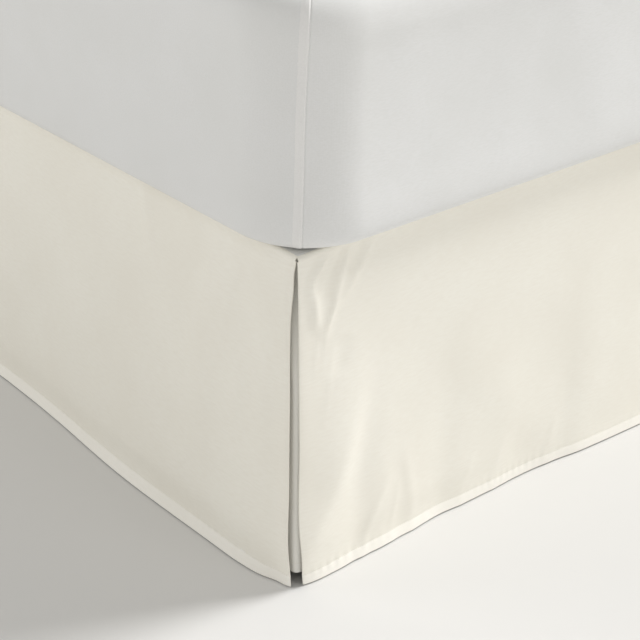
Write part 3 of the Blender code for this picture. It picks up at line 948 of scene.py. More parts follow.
@dataclass
class SkirtCloth:
    """Sizes that every piece of the skirt's cloth shares.

    Attributes:
        thickness: The cloth's own thickness.
        fold_radius: Outer radius of a pressed fold.
        return_length: How far the cloth runs back behind a folded edge.
        near_step: Column spacing where the folds are fine.
        far_step: Column spacing elsewhere.
        fine_length: How far from a seen corner the columns are close.
        row_step: Row spacing down the drop.
        shoulder_steps: Steps round the top edge.
        fold_steps: Steps round a pressed fold.
    """

    thickness: float = 0.5 * MM
    fold_radius: float = 0.9 * MM
    return_length: float = 0.062
    near_step: float = 3.2 * MM
    far_step: float = 9.0 * MM
    fine_length: float = 0.52
    row_step: float = 3.7 * MM
    shoulder_steps: int = 5
    fold_steps: int = 6

    def rows(self) -> list[tuple[float, float, bool]]:
        """Rows of a drop from its seam down: height, how far the shoulder draws it in, and hem."""
        rows = [(DECK_HEIGHT, SHOULDER_RADIUS + SEAM_WIDTH, False)]
        for step in range(self.shoulder_steps + 1):
            turn = 0.5 * math.pi * step / self.shoulder_steps
            height = DECK_HEIGHT - SHOULDER_RADIUS * (1.0 - math.cos(turn))
            rows.append((height, SHOULDER_RADIUS * (1.0 - math.sin(turn)), False))
        hem_top = HEM_CLEARANCE + HEM_HEIGHT
        above = hem_top + 2.0 * MM
        count = round((rows[-1][0] - above) / self.row_step)
        rows += [(rows[-1][0] - (rows[-1][0] - above) * step / count, 0.0, False)
                 for step in range(1, count + 1)]
        rows += [(hem_top + offset * MM, 0.0, False) for offset in (1.2, 0.5)]
        rows += [(hem_top + offset * MM, 0.0, True) for offset in (0.0, -0.6, -1.3, -2.4, -4.0)]
        rows += [(HEM_CLEARANCE + offset * MM, 0.0, True) for offset in (6.0, 3.0, 1.2, 0.4, 0.0)]
        return rows

    def behind(self, rows: Sequence[tuple[float, float, bool]], columns: int) -> Array:
        """The cloth's thickness at each point, doubled in the hem."""
        layers = np.array([2.0 if hem else 1.0 for _, _, hem in rows])
        return np.repeat((self.thickness * layers)[:, None], columns, axis=1)

    def columns(self, length: float, fine_ends: int) -> Array:
        """Distances along a drop, close near its first corner, or near both."""
        fine = np.arange(0.0, self.fine_length, self.near_step)
        last = length - (self.fine_length if fine_ends > 1 else 0.0)
        count = round((last - fine[-1]) / self.far_step)
        middle = np.linspace(fine[-1], last, count + 1)[1:]
        parts = [fine, middle]
        if fine_ends > 1:
            parts.append(length - fine[::-1])
            parts[1] = middle[:-1]
        return np.concatenate(parts)


@dataclass
class Drop:
    """One hanging side of the skirt: a single cut of cloth, hemmed below, pleated at its ends.

    Attributes:
        name: The piece's name.
        node: The CAD node that it stands for.
        length: Its length along the bed.
        side: Where it hangs.
        hang: How far its hem stands out, station by station.
        folds: Its soft ridges and troughs.
        bands: Its level bellies.
        edges: How its folded edge draws back, for one end or both.
        seed: Fixes its faint unevenness.
        waviness: Height of that unevenness.
        tucks: How far the hem's stitching is drawn in, so that the stiff hem flares below it.
        fall_power: How late in its fall the cloth swings out: 1 for a straight slope.
        shoulder_push: How far the cloth bulges over its seam just below the top edge.
        edge_curl: How far the cloth rolls in towards its folded edge.
        curl_width: How far from the folded edge that roll starts.
        spring: How far a return springs away from the drop at its own end.
        fold_start: Share of the fall over which the folds begin below the top edge.
        bulge_run: Distance along in which the shoulder's bulge grows to its full size.
        bulge_fall: Share of the fall over which it grows downwards.
        tip_height: Height above which the top edge hangs down at an unsupported corner.
        tuck_rise: How far above the hem its tuck reaches.
        groove_depth: Depth of the groove that the stitching draws in.
        groove_width: Its width.
        groove_below: How far it lies below the hem's upper edge.
        pucker_step: Distance from pucker to pucker.
        pucker_depth: Their depth.
        pucker_width: How high up and down they reach.
        pucker_below: How far their middle lies below the hem's upper edge.
        stitch_proud: How far the thread lies proud of the cloth.
        cloth: The cloth's shared sizes.
    """

    name: str
    node: str
    length: float
    side: Side
    hang: Sequence[Hang]
    folds: Sequence[Fold]
    bands: Sequence[Band]
    edges: Sequence[Sequence[Edge]]
    seed: int
    waviness: float = 0.45 * MM
    tucks: Sequence[Tuck] = (Tuck(0.0, 2.8 * MM), Tuck(BED_LENGTH, 2.8 * MM))
    fall_power: float = 1.15
    shoulder_push: float = 0.5 * MM
    edge_curl: float = 0.5 * MM
    curl_width: float = 0.008
    spring: float = 1.4 * MM
    fold_start: float = 0.04
    bulge_run: float = 0.050
    bulge_fall: float = 0.042
    tip_height: float = 0.300
    tuck_rise: float = 0.040
    groove_depth: float = 0.30 * MM
    groove_width: float = 2.6 * MM
    groove_below: float = 0.8 * MM
    pucker_step: float = 0.0113
    pucker_depth: float = 0.42 * MM
    pucker_width: float = 13.0 * MM
    pucker_below: float = 1.0 * MM
    stitch_proud: float = 0.12 * MM
    cloth: SkirtCloth = field(default_factory=SkirtCloth)

    def out(self, along: Array, height: Array | float) -> Array:
        """Distance of the outer face outside the skirt plane."""
        along = np.asarray(along, float)
        fallen = np.clip(1.0 - height / DECK_HEIGHT, 0.0, 1.0)
        places = [station.along for station in self.hang]
        value = smooth_curve(places, [station.hem_out for station in self.hang], along)
        value = value * fallen**self.fall_power
        for part in (*self.folds, *self.bands):
            value = value + part.lift(along, height)
        value = value + self.waviness * uneven(along, height, self.seed) * fallen**0.5
        value = value * smooth_step(fallen / self.fold_start)
        bulge = self.shoulder_push * smooth_step(along / self.bulge_run)
        value = value + bulge * (smooth_step(fallen / self.bulge_fall) - fallen)
        return value + self.hem_relief(along, height)

    def hem_relief(self, along: Array, height: Array | float) -> Array:
        """The hem: drawn in and puckered at its stitching, and flared below it."""
        hem_top = HEM_CLEARANCE + HEM_HEIGHT
        below = np.clip((hem_top - height) / HEM_HEIGHT, 0.0, 1.0)
        above = smooth_step((height - hem_top) / self.tuck_rise)
        tuck = smooth_curve([row.along for row in self.tucks], [row.depth for row in self.tucks], along)
        value = -tuck * (1.0 - below) * (1.0 - above)
        groove = bell(height - hem_top + self.groove_below, self.groove_width)
        value = value - self.groove_depth * groove
        # The stitching draws the cloth into small puckers of uneven length
        pucker = np.sin(2.0 * math.pi * along / self.pucker_step + 2.0 * np.sin(along * 41.0))
        pucker = pucker * (0.4 + 0.6 * np.sin(along * 23.0 + self.seed))
        near = bell(height - hem_top + self.pucker_below, self.pucker_width)
        return value + self.pucker_depth * pucker * near

    def roll(self, distance: Array) -> Array:
        """How far the cloth has rolled in at a distance from its folded edge."""
        return self.edge_curl * np.clip(1.0 - distance / self.curl_width, 0.0, 1.0) ** 2

    def back(self, end: int, height: float) -> float:
        """How far a folded edge stands back from its corner at a height."""
        table = self.edges[end]
        return float(smooth_curve([row.height for row in table], [row.back for row in table], height))

    def pleat(self, columns: Array, height: float, inward: float, end: int) -> tuple[Array, Array]:
        """Points at one height from a pleat's return, round its fold, along the drop.

        Args:
            columns: Distances from the pleat's corner, from 0.
            height: The row's height.
            inward: How far the shoulder draws the row in.
            end: 0 for the first end, 1 for the last.

        Returns:
            The lead of return and fold, and the drop's own points, as along and out.
        """
        radius = self.cloth.fold_radius
        start = max(self.back(end, height) + radius, inward + self.cloth.thickness)
        along = start + columns * (1.0 - start / columns[-1])
        true = along if end == 0 else self.length - along
        outer = self.out(true, height) - inward - self.roll(along - start)
        shares = np.linspace(1.0, 0.0, 16, endpoint=False)
        places = start + (self.cloth.return_length - start) * shares
        true_places = places if end == 0 else self.length - places
        # The return springs a little away from the drop towards its own end
        spring = 2.0 * radius + self.spring * shares
        returned = self.out(true_places, height) - inward - spring - self.roll(places - start)
        returned = np.stack([places, returned], axis=-1)
        turns = math.pi * np.arange(self.cloth.fold_steps, 0, -1) / self.cloth.fold_steps
        fold = np.stack(
            [start - radius * np.sin(turns), outer[0] - radius * (1.0 - np.cos(turns))], axis=-1
        )
        return np.concatenate([returned, fold]), np.stack([along, outer], axis=-1)

    def grid(self) -> tuple[Array, int]:
        """All points as along, out and height, and how many columns lead each pleat."""
        columns = self.cloth.columns(self.length, len(self.edges))
        half = len(columns) // 2
        lines = []
        lead_count = 0
        for height, inward, _ in self.cloth.rows():
            lead, main = self.pleat(columns[: half + 1], height, inward, 0)
            lead_count = len(lead)
            if len(self.edges) > 1:
                tail, far = self.pleat(self.length - columns[half:][::-1], height, inward, 1)
                flip = np.array([-1.0, 1.0])
                shift = np.array([self.length, 0.0])
                parts = [lead, main[:-1], far[::-1] * flip + shift, tail[::-1] * flip + shift]
            else:
                rest = columns[half + 1 :]
                plain = np.stack([rest, self.out(rest, height) - inward], axis=-1)
                parts = [lead, main, plain]
            line = np.concatenate(parts)
            lines.append(np.concatenate([line, np.full((len(line), 1), height)], axis=1))
        grid = np.array(lines)
        grid[..., 2] -= self.tip_drop(grid[..., 0], grid[..., 2])
        return grid, lead_count

    def tip_drop(self, along: Array, height: Array) -> Array:
        """How far the top edge hangs down where the corner's tip has no support."""
        near_top = smooth_step((height - self.tip_height) / (DECK_HEIGHT - self.tip_height))
        fall = tip_sag(along)
        if len(self.edges) > 1:
            fall = fall + tip_sag(self.length - along)
        return fall * near_top

    def build(self, palette: Palette, stitches: StitchMaker) -> bpy.types.Object:
        """Make the cloth and the stitching of its hem.

        Args:
            palette: The materials.
            stitches: The maker of stitch rows.

        Returns:
            The cloth's piece.
        """
        grid, lead_count = self.grid()
        outer = self.side.place(grid)
        rows = self.cloth.rows()
        used = np.ones((outer.shape[0] - 1, outer.shape[1] - 1), bool)
        above = self.cloth.shoulder_steps + 1
        used[:above, :lead_count] = False
        if len(self.edges) > 1:
            used[:above, -lead_count:] = False
        steps = np.linalg.norm(np.diff(outer[len(rows) // 2], axis=0), axis=1)
        run = np.concatenate([[0.0], np.cumsum(steps)])
        cut = np.stack(np.broadcast_arrays(run[None, :], grid[:, :, 2]), axis=-1)
        hem_row = next(row for row, entry in enumerate(rows) if entry[2]) + 1
        row_points = grid[hem_row, lead_count:].copy()
        row_points[:, 1] += self.stitch_proud
        if self.side.faces_in():
            outer, used, cut = outer[:, ::-1], used[:, ::-1], cut[:, ::-1]
        behind = self.cloth.behind(rows, outer.shape[1])
        mesh = sheet_mesh(self.name, outer, behind, used, cut)
        piece = add_piece(self.name, mesh, palette.get(palette.MICROFIBRE), [self.node])
        # The hem's cells take the paler copy of the cloth: a painted highlight along the hem band
        mesh.materials.append(palette.get(palette.MICROFIBRE_HEM_PAINTED_LIT))
        in_hem = np.array([upper[2] and lower[2] for upper, lower in zip(rows, rows[1:])])
        hem_cells = np.broadcast_to(in_hem[:, None], used.shape)[used]
        index = np.zeros(len(mesh.polygons), np.int32)
        index[: 2 * len(hem_cells)] = np.tile(hem_cells, 2)
        mesh.polygons.foreach_set("material_index", index)
        thread = stitches.sew(
            self.name + "_stitches", [self.side.place(row_points)], palette.get(palette.THREAD),
        )
        return piece


@dataclass
class Underlay:
    """The cloth behind an open corner, which closes the pleat from within.

    Attributes:
        name: The piece's name.
        node: The CAD node that it stands for.
        side: -1 at the left corner and 1 at the right.
        side_drop: The side drop beside it.
        foot_drop: The foot drop.
        reach: How far it runs along each side.
        behind: How far its face lies in from the drops' outer faces.
        corner: Radius of its bend behind the opening.
        top_corner: That radius at its top, where the box spring rounds it out.
        bend_from: Height at which the radius starts to grow.
        bend_over: Height over which it grows.
        hem_rise: How much higher its hem hangs than the drops' hems.
        rise_height: The height up to which its lower edge is drawn up.
        cloth: The cloth's shared sizes.
    """

    name: str
    node: str
    side: int
    side_drop: Drop
    foot_drop: Drop
    reach: float = 0.074
    behind: float = 4.2 * MM
    corner: float = 0.007
    top_corner: float = 0.026
    bend_from: float = 0.22
    bend_over: float = 0.13
    hem_rise: float = 0.012
    rise_height: float = 0.200
    cloth: SkirtCloth = field(default_factory=SkirtCloth)

    def bend(self, height: float) -> float:
        """Radius of its bend at a height."""
        grown_by = float(smooth_step((height - self.bend_from) / self.bend_over))
        return self.corner + (self.top_corner - self.corner) * grown_by

    def leg(self, drop: Drop, along: float, height: float, turned: bool) -> float:
        """How far in from its skirt plane a leg of the underlay lies."""
        middle = self.behind + self.bend(height)
        station = drop.length - along if turned else along
        follow = smooth_step((along - middle) / (self.reach - middle))
        return self.behind - float(drop.out(station, height)) * float(follow)

    def line(self, height: float) -> list[tuple[float, float]]:
        """Plan points at one height, as distances in from the side and the foot planes."""
        corner = self.bend(height)
        middle = self.behind + corner
        legs = [self.reach + (middle - self.reach) * share for share in np.linspace(0.0, 1.0, 14)[:-1]]
        points = [(self.leg(self.side_drop, along, height, False), along) for along in legs]
        for turn in np.linspace(0.0, 0.5 * math.pi, 25):
            points.append(
                (middle - corner * math.cos(turn), middle - corner * math.sin(turn))
            )
        turned = self.side > 0
        points += [(along, self.leg(self.foot_drop, along, height, turned)) for along in legs[::-1]]
        return points

    def build(self, palette: Palette, stitches: StitchMaker) -> bpy.types.Object:
        """Make the cloth and the stitching of its hem.

        Args:
            palette: The materials.
            stitches: The maker of stitch rows.

        Returns:
            The cloth's piece.
        """
        rows = self.cloth.rows()[self.cloth.shoulder_steps + 1 :]
        outer = np.array([
            [(self.side * (HALF_WIDTH - a), b - HALF_LENGTH, height) for a, b in self.line(height)]
            for height, _, _ in rows
        ])
        rise = self.hem_rise * (1.0 - smooth_step(outer[:, :, 2] / self.rise_height))
        outer[:, :, 2] += rise
        if self.side > 0:
            outer = outer[:, ::-1]
        steps = np.linalg.norm(np.diff(outer[0], axis=0), axis=1)
        run = np.concatenate([[0.0], np.cumsum(steps)])
        cut = np.stack(np.broadcast_arrays(run[None, :], outer[:, :, 2]), axis=-1)
        used = np.ones((outer.shape[0] - 1, outer.shape[1] - 1), bool)
        mesh = sheet_mesh(self.name, outer, self.cloth.behind(rows, outer.shape[1]), used, cut)
        # The underlay takes the paler copy of the cloth: painted light against the shade in the corner's
        # slit
        inner = palette.get(palette.MICROFIBRE_INNER_PAINTED_LIT)
        piece = add_piece(self.name, mesh, inner, [self.node])
        hem_row = next(row for row, entry in enumerate(rows) if entry[2]) + 1
        thread = stitches.sew(
            self.name + "_stitches", [outer[hem_row]], palette.get(palette.THREAD)
        )
        return piece


@dataclass
class Skirt:
    """The whole bed skirt: deck, three drops and two underlays.

    Attributes:
        deck_thickness: Thickness of the platform cloth.
        deck_step: Spacing of the deck's columns and rows.
    """

    deck_thickness: float = 0.5 * MM
    deck_step: float = 0.022

    left_hang = (
        Hang(0.00, 0.0045), Hang(0.02, 0.0075), Hang(0.04, 0.0143), Hang(0.07, 0.0188),
        Hang(0.12, 0.0205), Hang(0.21, 0.0220), Hang(0.29, 0.0225), Hang(0.34, 0.0203),
        Hang(0.43, 0.0147), Hang(0.60, 0.0110), Hang(0.85, 0.0165), Hang(1.10, 0.0095),
        Hang(1.40, 0.0150), Hang(1.70, 0.0085), Hang(BED_LENGTH, 0.0105),
    )
    left_folds = (
        Fold(((0.095, 0.345), (0.134, 0.272), (0.150, 0.194), (0.150, 0.120)), 0.045, 0.0026),
        Fold(((0.080, 0.320), (0.065, 0.232), (0.062, 0.160)), 0.032, -0.0014),
        Fold(((0.112, 0.376), (0.124, 0.335), (0.146, 0.290)), 0.016, 0.0009),
        Fold(((0.243, 0.378), (0.228, 0.300)), 0.022, 0.0018),
        Fold(((0.169, 0.382), (0.160, 0.350)), 0.020, 0.0010),
        Fold(((0.076, 0.364), (0.101, 0.290), (0.117, 0.238), (0.134, 0.183)), 0.016, 0.0008),
        Fold(((0.000, 0.300), (0.000, 0.040)), 0.044, 0.0022, 0.5),
        Fold(((0.300, 0.300), (0.290, 0.020)), 0.120, -0.0010),
        Fold(((0.560, 0.340), (0.640, 0.020)), 0.070, -0.0040),
        Fold(((0.980, 0.360), (0.930, 0.010)), 0.080, 0.0035),
        Fold(((1.520, 0.350), (1.600, 0.010)), 0.080, -0.0035),
    )
    left_tucks = (
        Tuck(0.00, 0.0 * MM), Tuck(0.05, 3.8 * MM), Tuck(0.12, 5.0 * MM), Tuck(0.50, 5.0 * MM),
        Tuck(BED_LENGTH, 4.0 * MM),
    )
    left_bands = (
        Band(0.02, 0.60, 0.080, 0.060, 0.0008),
    )
    left_edge = (
        Edge(0.000, 0.0036), Edge(0.046, 0.0076), Edge(0.110, 0.0066), Edge(0.168, 0.0073),
        Edge(0.225, 0.0078), Edge(0.279, 0.0094), Edge(0.306, 0.0097), Edge(0.328, 0.0084),
        Edge(0.344, 0.0070), Edge(0.364, 0.0062), Edge(0.372, 0.0046), Edge(DECK_HEIGHT, 0.0030),
    )
    right_hang = (
        Hang(0.00, 0.0040), Hang(0.04, 0.0100), Hang(0.12, 0.0150), Hang(0.26, 0.0180),
        Hang(0.45, 0.0120), Hang(0.70, 0.0165), Hang(1.00, 0.0100), Hang(1.30, 0.0160),
        Hang(1.65, 0.0090), Hang(BED_LENGTH, 0.0110),
    )
    right_folds = (
        Fold(((0.100, 0.360), (0.130, 0.080)), 0.050, 0.0025),
        Fold(((0.060, 0.374), (0.042, 0.310)), 0.016, 0.0018),
        Fold(((0.420, 0.350), (0.500, 0.010)), 0.080, -0.0035),
        Fold(((0.900, 0.360), (0.850, 0.010)), 0.080, 0.0035),
        Fold(((1.480, 0.350), (1.560, 0.010)), 0.080, -0.0035),
    )
    right_edge = (
        Edge(0.000, 0.0065), Edge(0.120, 0.0090), Edge(0.250, 0.0070), Edge(DECK_HEIGHT, 0.0020),
    )
    foot_hang = (
        Hang(0.000, -0.0024), Hang(0.006, -0.0015), Hang(0.030, 0.0022), Hang(0.058, 0.0051),
        Hang(0.087, 0.0029), Hang(0.115, 0.0041), Hang(0.146, 0.0020), Hang(0.178, 0.0010),
        Hang(0.210, -0.0016), Hang(0.239, 0.0001), Hang(0.271, 0.0009), Hang(0.304, 0.0011),
        Hang(0.337, 0.0004), Hang(0.370, 0.0018), Hang(0.401, 0.0046), Hang(0.428, 0.0086),
        Hang(0.46, 0.0105), Hang(0.62, 0.0150), Hang(0.80, 0.0070), Hang(1.00, 0.0130),
        Hang(1.22, 0.0050), Hang(1.40, 0.0110), Hang(BED_WIDTH, 0.0040),
    )
    foot_folds = (
        # Pulls from the corner's seam: three ridges with tight troughs between
        Fold(((0.038, 0.380), (0.026, 0.363), (0.018, 0.349), (0.022, 0.325), (0.024, 0.300)),
             0.011, 0.0033),
        Fold(((0.060, 0.380), (0.050, 0.362), (0.039, 0.344), (0.036, 0.325)), 0.012, -0.0018),
        Fold(((0.062, 0.380), (0.057, 0.360), (0.045, 0.316), (0.034, 0.290)), 0.011, 0.0028),
        Fold(((0.084, 0.380), (0.076, 0.362), (0.066, 0.345)), 0.012, -0.0014),
        Fold(((0.092, 0.380), (0.086, 0.362), (0.072, 0.340), (0.052, 0.315)), 0.013, 0.0022),
        # Fine creases below them
        Fold(((0.046, 0.325), (0.037, 0.284), (0.032, 0.262)), 0.006, 0.0005),
        Fold(((0.034, 0.320), (0.025, 0.274), (0.022, 0.250)), 0.006, 0.0005),
        Fold(((0.045, 0.262), (0.034, 0.186)), 0.005, 0.0003),
        Fold(((0.060, 0.275), (0.052, 0.240)), 0.022, -0.0012),
        # The broad ridge that sweeps down to the corner of the hem, and its trough
        Fold(((0.077, 0.225), (0.063, 0.153), (0.037, 0.090), (0.006, 0.044), (-0.013, 0.006)),
             0.044, 0.0044, 0.80, True, 2.6),
        Fold(((0.096, 0.150), (0.082, 0.090), (0.066, 0.040), (0.052, 0.006)), 0.036, -0.0005,
             0.60, True),
        Fold(((0.034, 0.075), (0.024, 0.006)), 0.050, 0.0032, 0.90, True),
        Fold(((0.012, 0.140), (0.004, 0.058)), 0.062, -0.0024, 0.90),
        # Short ridges that rise from the hem
        Fold(((0.124, 0.084), (0.100, 0.040), (0.090, 0.006)), 0.017, 0.0013, 0.5, True),
        Fold(((0.150, 0.105), (0.162, 0.050), (0.166, 0.006)), 0.017, 0.0007, 0.5, True),
        Fold(((0.182, 0.120), (0.184, 0.006)), 0.040, -0.0006, 0.6, True),
        Fold(((0.140, 0.070), (0.134, 0.020)), 0.009, 0.0004, 0.5, True),
        Fold(((0.254, 0.060), (0.241, 0.020)), 0.013, 0.0004, 0.5, True),
        Fold(((0.303, 0.064), (0.292, 0.020)), 0.014, 0.0005, 0.5, True),
        Fold(((0.324, 0.070), (0.320, 0.006)), 0.020, -0.0003, 0.5, True),
        Fold(((0.388, 0.060), (0.380, 0.020)), 0.013, 0.0004, 0.5, True),
        # Broad, faint shapes of the middle
        Fold(((0.190, 0.310), (0.240, 0.200), (0.310, 0.112), (0.364, 0.040)), 0.090, 0.0010),
        Fold(((0.180, 0.300), (0.185, 0.110)), 0.090, -0.0009),
        Fold(((0.354, 0.200), (0.440, 0.020)), 0.080, -0.0007),
        Fold(((0.700, 0.360), (0.780, 0.010)), 0.080, -0.0040),
        Fold(((1.180, 0.360), (1.120, 0.010)), 0.070, 0.0035),
        Fold(((1.430, 0.340), (1.455, 0.040)), 0.034, 0.0040),
    )
    foot_edge = (
        Edge(0.000, 0.0094), Edge(0.012, 0.0084), Edge(0.060, 0.0050), Edge(0.108, 0.0053),
        Edge(0.167, 0.0051), Edge(0.225, 0.0046), Edge(0.286, 0.0039), Edge(0.335, 0.0031),
        Edge(0.362, 0.0024), Edge(DECK_HEIGHT, 0.0015),
    )
    foot_tucks = (
        Tuck(0.00, 0.2 * MM), Tuck(0.05, 1.4 * MM), Tuck(0.12, 2.6 * MM), Tuck(0.19, 2.4 * MM),
        Tuck(0.32, 0.9 * MM), Tuck(0.50, 0.9 * MM),
        Tuck(BED_WIDTH, 1.4 * MM),
    )
    foot_far_edge = (
        Edge(0.000, 0.0070), Edge(0.100, 0.0075), Edge(0.220, 0.0060), Edge(DECK_HEIGHT, 0.0005),
    )

    def drops(self) -> tuple[Drop, Drop, Drop]:
        """The left, right and foot drops."""
        left = Drop(
            "side_panel_left_cloth", "side_panel_left", BED_LENGTH, LEFT_SIDE, self.left_hang,
            self.left_folds, self.left_bands, (self.left_edge,), 11, 0.3 * MM, self.left_tucks,
            shoulder_push=4.0 * MM, edge_curl=1.5 * MM,
        )
        right = Drop(
            "side_panel_right_cloth", "side_panel_right", BED_LENGTH, RIGHT_SIDE, self.right_hang,
            self.right_folds, (), (self.right_edge,), 12,
        )
        foot = Drop(
            "foot_panel_cloth", "foot_panel", BED_WIDTH, FOOT_SIDE, self.foot_hang,
            self.foot_folds, (), (self.foot_edge, self.foot_far_edge), 13, 0.3 * MM,
            self.foot_tucks, fall_power=1.8,
        )
        return left, right, foot

    def build_deck(self, palette: Palette) -> bpy.types.Object:
        """Make the platform cloth, nearly flat on the box spring."""
        inset = SHOULDER_RADIUS + SEAM_WIDTH + 0.1 * MM
        near = np.linspace(0.0, 0.090, 26)[:-1]
        edge = HALF_WIDTH - inset
        plain = np.linspace(-edge + 0.090, edge - 0.090, round(BED_WIDTH / self.deck_step))
        across = np.concatenate([near - edge, plain, edge - near[::-1]])
        foot = -HALF_LENGTH + inset
        plain = np.linspace(HALF_LENGTH, foot + 0.090, round(BED_LENGTH / self.deck_step))
        length = np.concatenate([plain, foot + near[::-1]])
        x, y = np.meshgrid(across, length)
        fall = tip_sag(np.hypot(HALF_WIDTH - np.abs(x), y + HALF_LENGTH))
        outer = np.stack([x, y, DECK_HEIGHT - fall], axis=-1)
        used = np.ones((len(length) - 1, len(across) - 1), bool)
        behind = np.full(x.shape, self.deck_thickness)
        mesh = sheet_mesh("deck_cloth", outer, behind, used, np.stack([x, y], axis=-1))
        piece = add_piece("deck_cloth", mesh, palette.get(palette.PLATFORM), ["deck"])
        return piece

    def build(self, palette: Palette, stitches: StitchMaker) -> None:
        """Make every piece of the skirt."""
        self.build_deck(palette)
        left, right, foot = self.drops()
        for drop in (left, right, foot):
            drop.build(palette, stitches)
        Underlay("corner_underlay_left", "corner_pleat_left", -1, left, foot).build(palette, stitches)
        Underlay("corner_underlay_right", "corner_pleat_right", 1, right, foot).build(palette, stitches)


# The mattress in its fitted sheet

@dataclass(frozen=True)
class Layer:
    """One level of the mattress: its height above the deck and its inset."""

    height: float
    inset: float


@dataclass
class Mattress:
    """The filled mattress under its fitted sheet, with a seam at each corner.

    Attributes:
        overhang: How far its side stands outside the skirt plane.
        corner_radius: Radius of its corners in plan.
        waist: How far its side draws in at mid height.
        crown: How far its top swells.
        seam_width: Width of the seam's flat band.
        seam_lift: How far the band stands off the side.
        seam_groove: Depth of the fine groove along the seam.
        seam_ridge: How far the sheet's corner stands out to a soft edge at the seam.
        ridge_reach: How far to each side that edge runs out.
    """

    overhang: float = 0.019
    corner_radius: float = 0.087
    waist: float = 0.003
    crown: float = 0.006
    seam_width: float = 9.0 * MM
    seam_lift: float = 0.7 * MM
    seam_groove: float = 0.7 * MM
    seam_ridge: float = 1.7 * MM
    ridge_reach: float = 15.0 * MM
    seam_heights = (0.000, 0.063, 0.123, 0.187, 0.237, 0.250)
    seam_parts = (0.522, 0.533, 0.539, 0.556, 0.572, 0.576)

    def layers(self) -> tuple[Layer, ...]:
        """The levels that shape its side, rims and top."""
        return (
            Layer(0.0000, 0.0140), Layer(0.0006, 0.0105), Layer(0.0022, 0.0062),
            Layer(0.0060, 0.0022), Layer(0.0120, 0.0004), Layer(0.0200, 0.0000),
            Layer(0.0600, 0.5 * self.waist), Layer(0.1250, self.waist),
            Layer(0.1850, 0.7 * self.waist), Layer(0.2150, 0.0008), Layer(0.2280, 0.0028),
            Layer(0.2380, 0.0080), Layer(0.2445, 0.0160), Layer(0.2480, 0.0280),
            Layer(0.2500, 0.0600),
        )

    def profile(self) -> list[tuple[float, float]]:
        """Heights and insets down to millimetres, from the lowest ring to the last at the top."""
        table = self.layers()
        heights = [layer.height for layer in table]
        insets = [layer.inset for layer in table]
        run = np.concatenate([[0.0], np.cumsum(np.hypot(np.diff(heights), np.diff(insets)))])
        fine = []
        for start, end in zip(run, run[1:]):
            count = max(2, round((end - start) / 0.006))
            fine += list(np.linspace(start, end, count, endpoint=False))
        fine.append(run[-1])
        rows = [(float(smooth_curve(run, heights, place)), float(smooth_curve(run, insets, place)))
                for place in fine]
        top = heights[-1]
        for inset in (0.09, 0.14, 0.20, 0.28, 0.37, 0.47, 0.57, 0.67, 0.74, 0.775):
            share = smooth_step((inset - 0.05) / 0.6)
            rows.append((top + (self.crown - 1.0 * MM) * float(share), inset))
        return rows

    def places(self) -> Array:
        """Shares of the way round, close at the corners and near the seen one."""
        parts = []
        for unit in range(8):
            if unit % 2 == 0:
                runs = ((0.0, 0.44, 16), (0.44, 0.62, 56 if unit == 0 else 36), (0.62, 1.0, 14))
                parts += [unit + np.linspace(*run, endpoint=False) for run in runs]
                continue
            runs = {1: (0.0, 0.35, 90), 7: (0.75, 1.0, 90)}
            first, last, count = runs.get(unit, (0.0, 0.0, 0))
            plain = np.linspace(0.0, 1.0, 64, endpoint=False)
            plain = plain[(plain < first) | (plain >= last)] if count else plain
            close = np.linspace(first, last, count, endpoint=False) if count else plain[:0]
            parts.append(unit + np.sort(np.concatenate([plain, close])))
        return np.concatenate(parts)

    def ring(self, places: Array, height: float, inset: float) -> Array:
        """Points of one ring of its skin, uneven as a stretched sheet is."""
        width = BED_WIDTH + 2.0 * (self.overhang - inset)
        length = BED_LENGTH + 2.0 * (self.overhang - inset)
        radius = max(self.corner_radius - inset, 0.012)
        radius = min(radius, 0.49 * min(width, length))
        plan = rounded_outline(width, length, radius, places)
        level = DECK_HEIGHT + 0.3 * MM + height
        points = np.concatenate([plan, np.full((len(plan), 1), level)], axis=1)
        if inset < 0.03:
            outward = plan - rounded_outline(width - 0.01, length - 0.01, radius, places)
            outward /= np.maximum(np.linalg.norm(outward, axis=1, keepdims=True), 1e-9)
            way = plan[:, 0] - plan[:, 1]
            lift = 0.6 * MM * uneven(way, level, 21) * smooth_step(height / 0.05)
            lift = lift + self.seam(places, height)
            points[:, :2] += outward * lift[:, None]
        return points

    def seam_distance(self, places: Array, height: float) -> Array:
        """Distance round the corner from its seam, or 1 metre away from corners."""
        middle = float(smooth_curve(self.seam_heights, self.seam_parts, height))
        part = places - np.floor(places / 2.0) * 2.0
        return np.where(part < 1.0, (middle - part) * 0.5 * math.pi * self.corner_radius, 1.0)

    def seam(self, places: Array, height: float) -> Array:
        """How far the corner seams lift the sheet: a flat band, a groove beside it and a ridge."""
        away = self.seam_distance(places, height)
        band = smooth_step(away / (0.8 * MM)) * smooth_step((self.seam_width - away) / (5.0 * MM))
        groove = bell(away + 0.3 * MM, 1.6 * MM)
        ridge = np.exp(-np.abs(away) / self.ridge_reach)
        shown = smooth_step((0.252 - height) / 0.012)
        lift = self.seam_lift * band - self.seam_groove * groove + self.seam_ridge * ridge
        return lift * shown

    def build(self, palette: Palette) -> None:
        """Make the mattress and its corner seams.

        Args:
            palette: The materials.
        """
        places = self.places()
        rings = [self.ring(places, height, inset) for height, inset in self.profile()]
        mesh = ring_mesh("mattress_in_sheet", rings)
        piece = add_piece(
            "mattress_in_sheet", mesh, palette.get(palette.JERSEY), ["mattress"]
        )
        # The seam bands take the paler jersey: partly the doubled cloth, partly a painted highlight
        mesh.materials.append(palette.get(palette.JERSEY_DOUBLED_AND_PAINTED_LIT))
        banded = np.zeros((len(rings) - 1, len(places)), bool)
        for row, (height, _) in enumerate(self.profile()[:-1]):
            away = self.seam_distance(places, height)
            banded[row] = (away > 0.0) & (away < self.seam_width) & (height < 0.240)
        index = np.zeros(len(mesh.polygons), np.int32)
        index[: banded.size] = banded.reshape(-1)
        mesh.polygons.foreach_set("material_index", index)


# The bed underneath

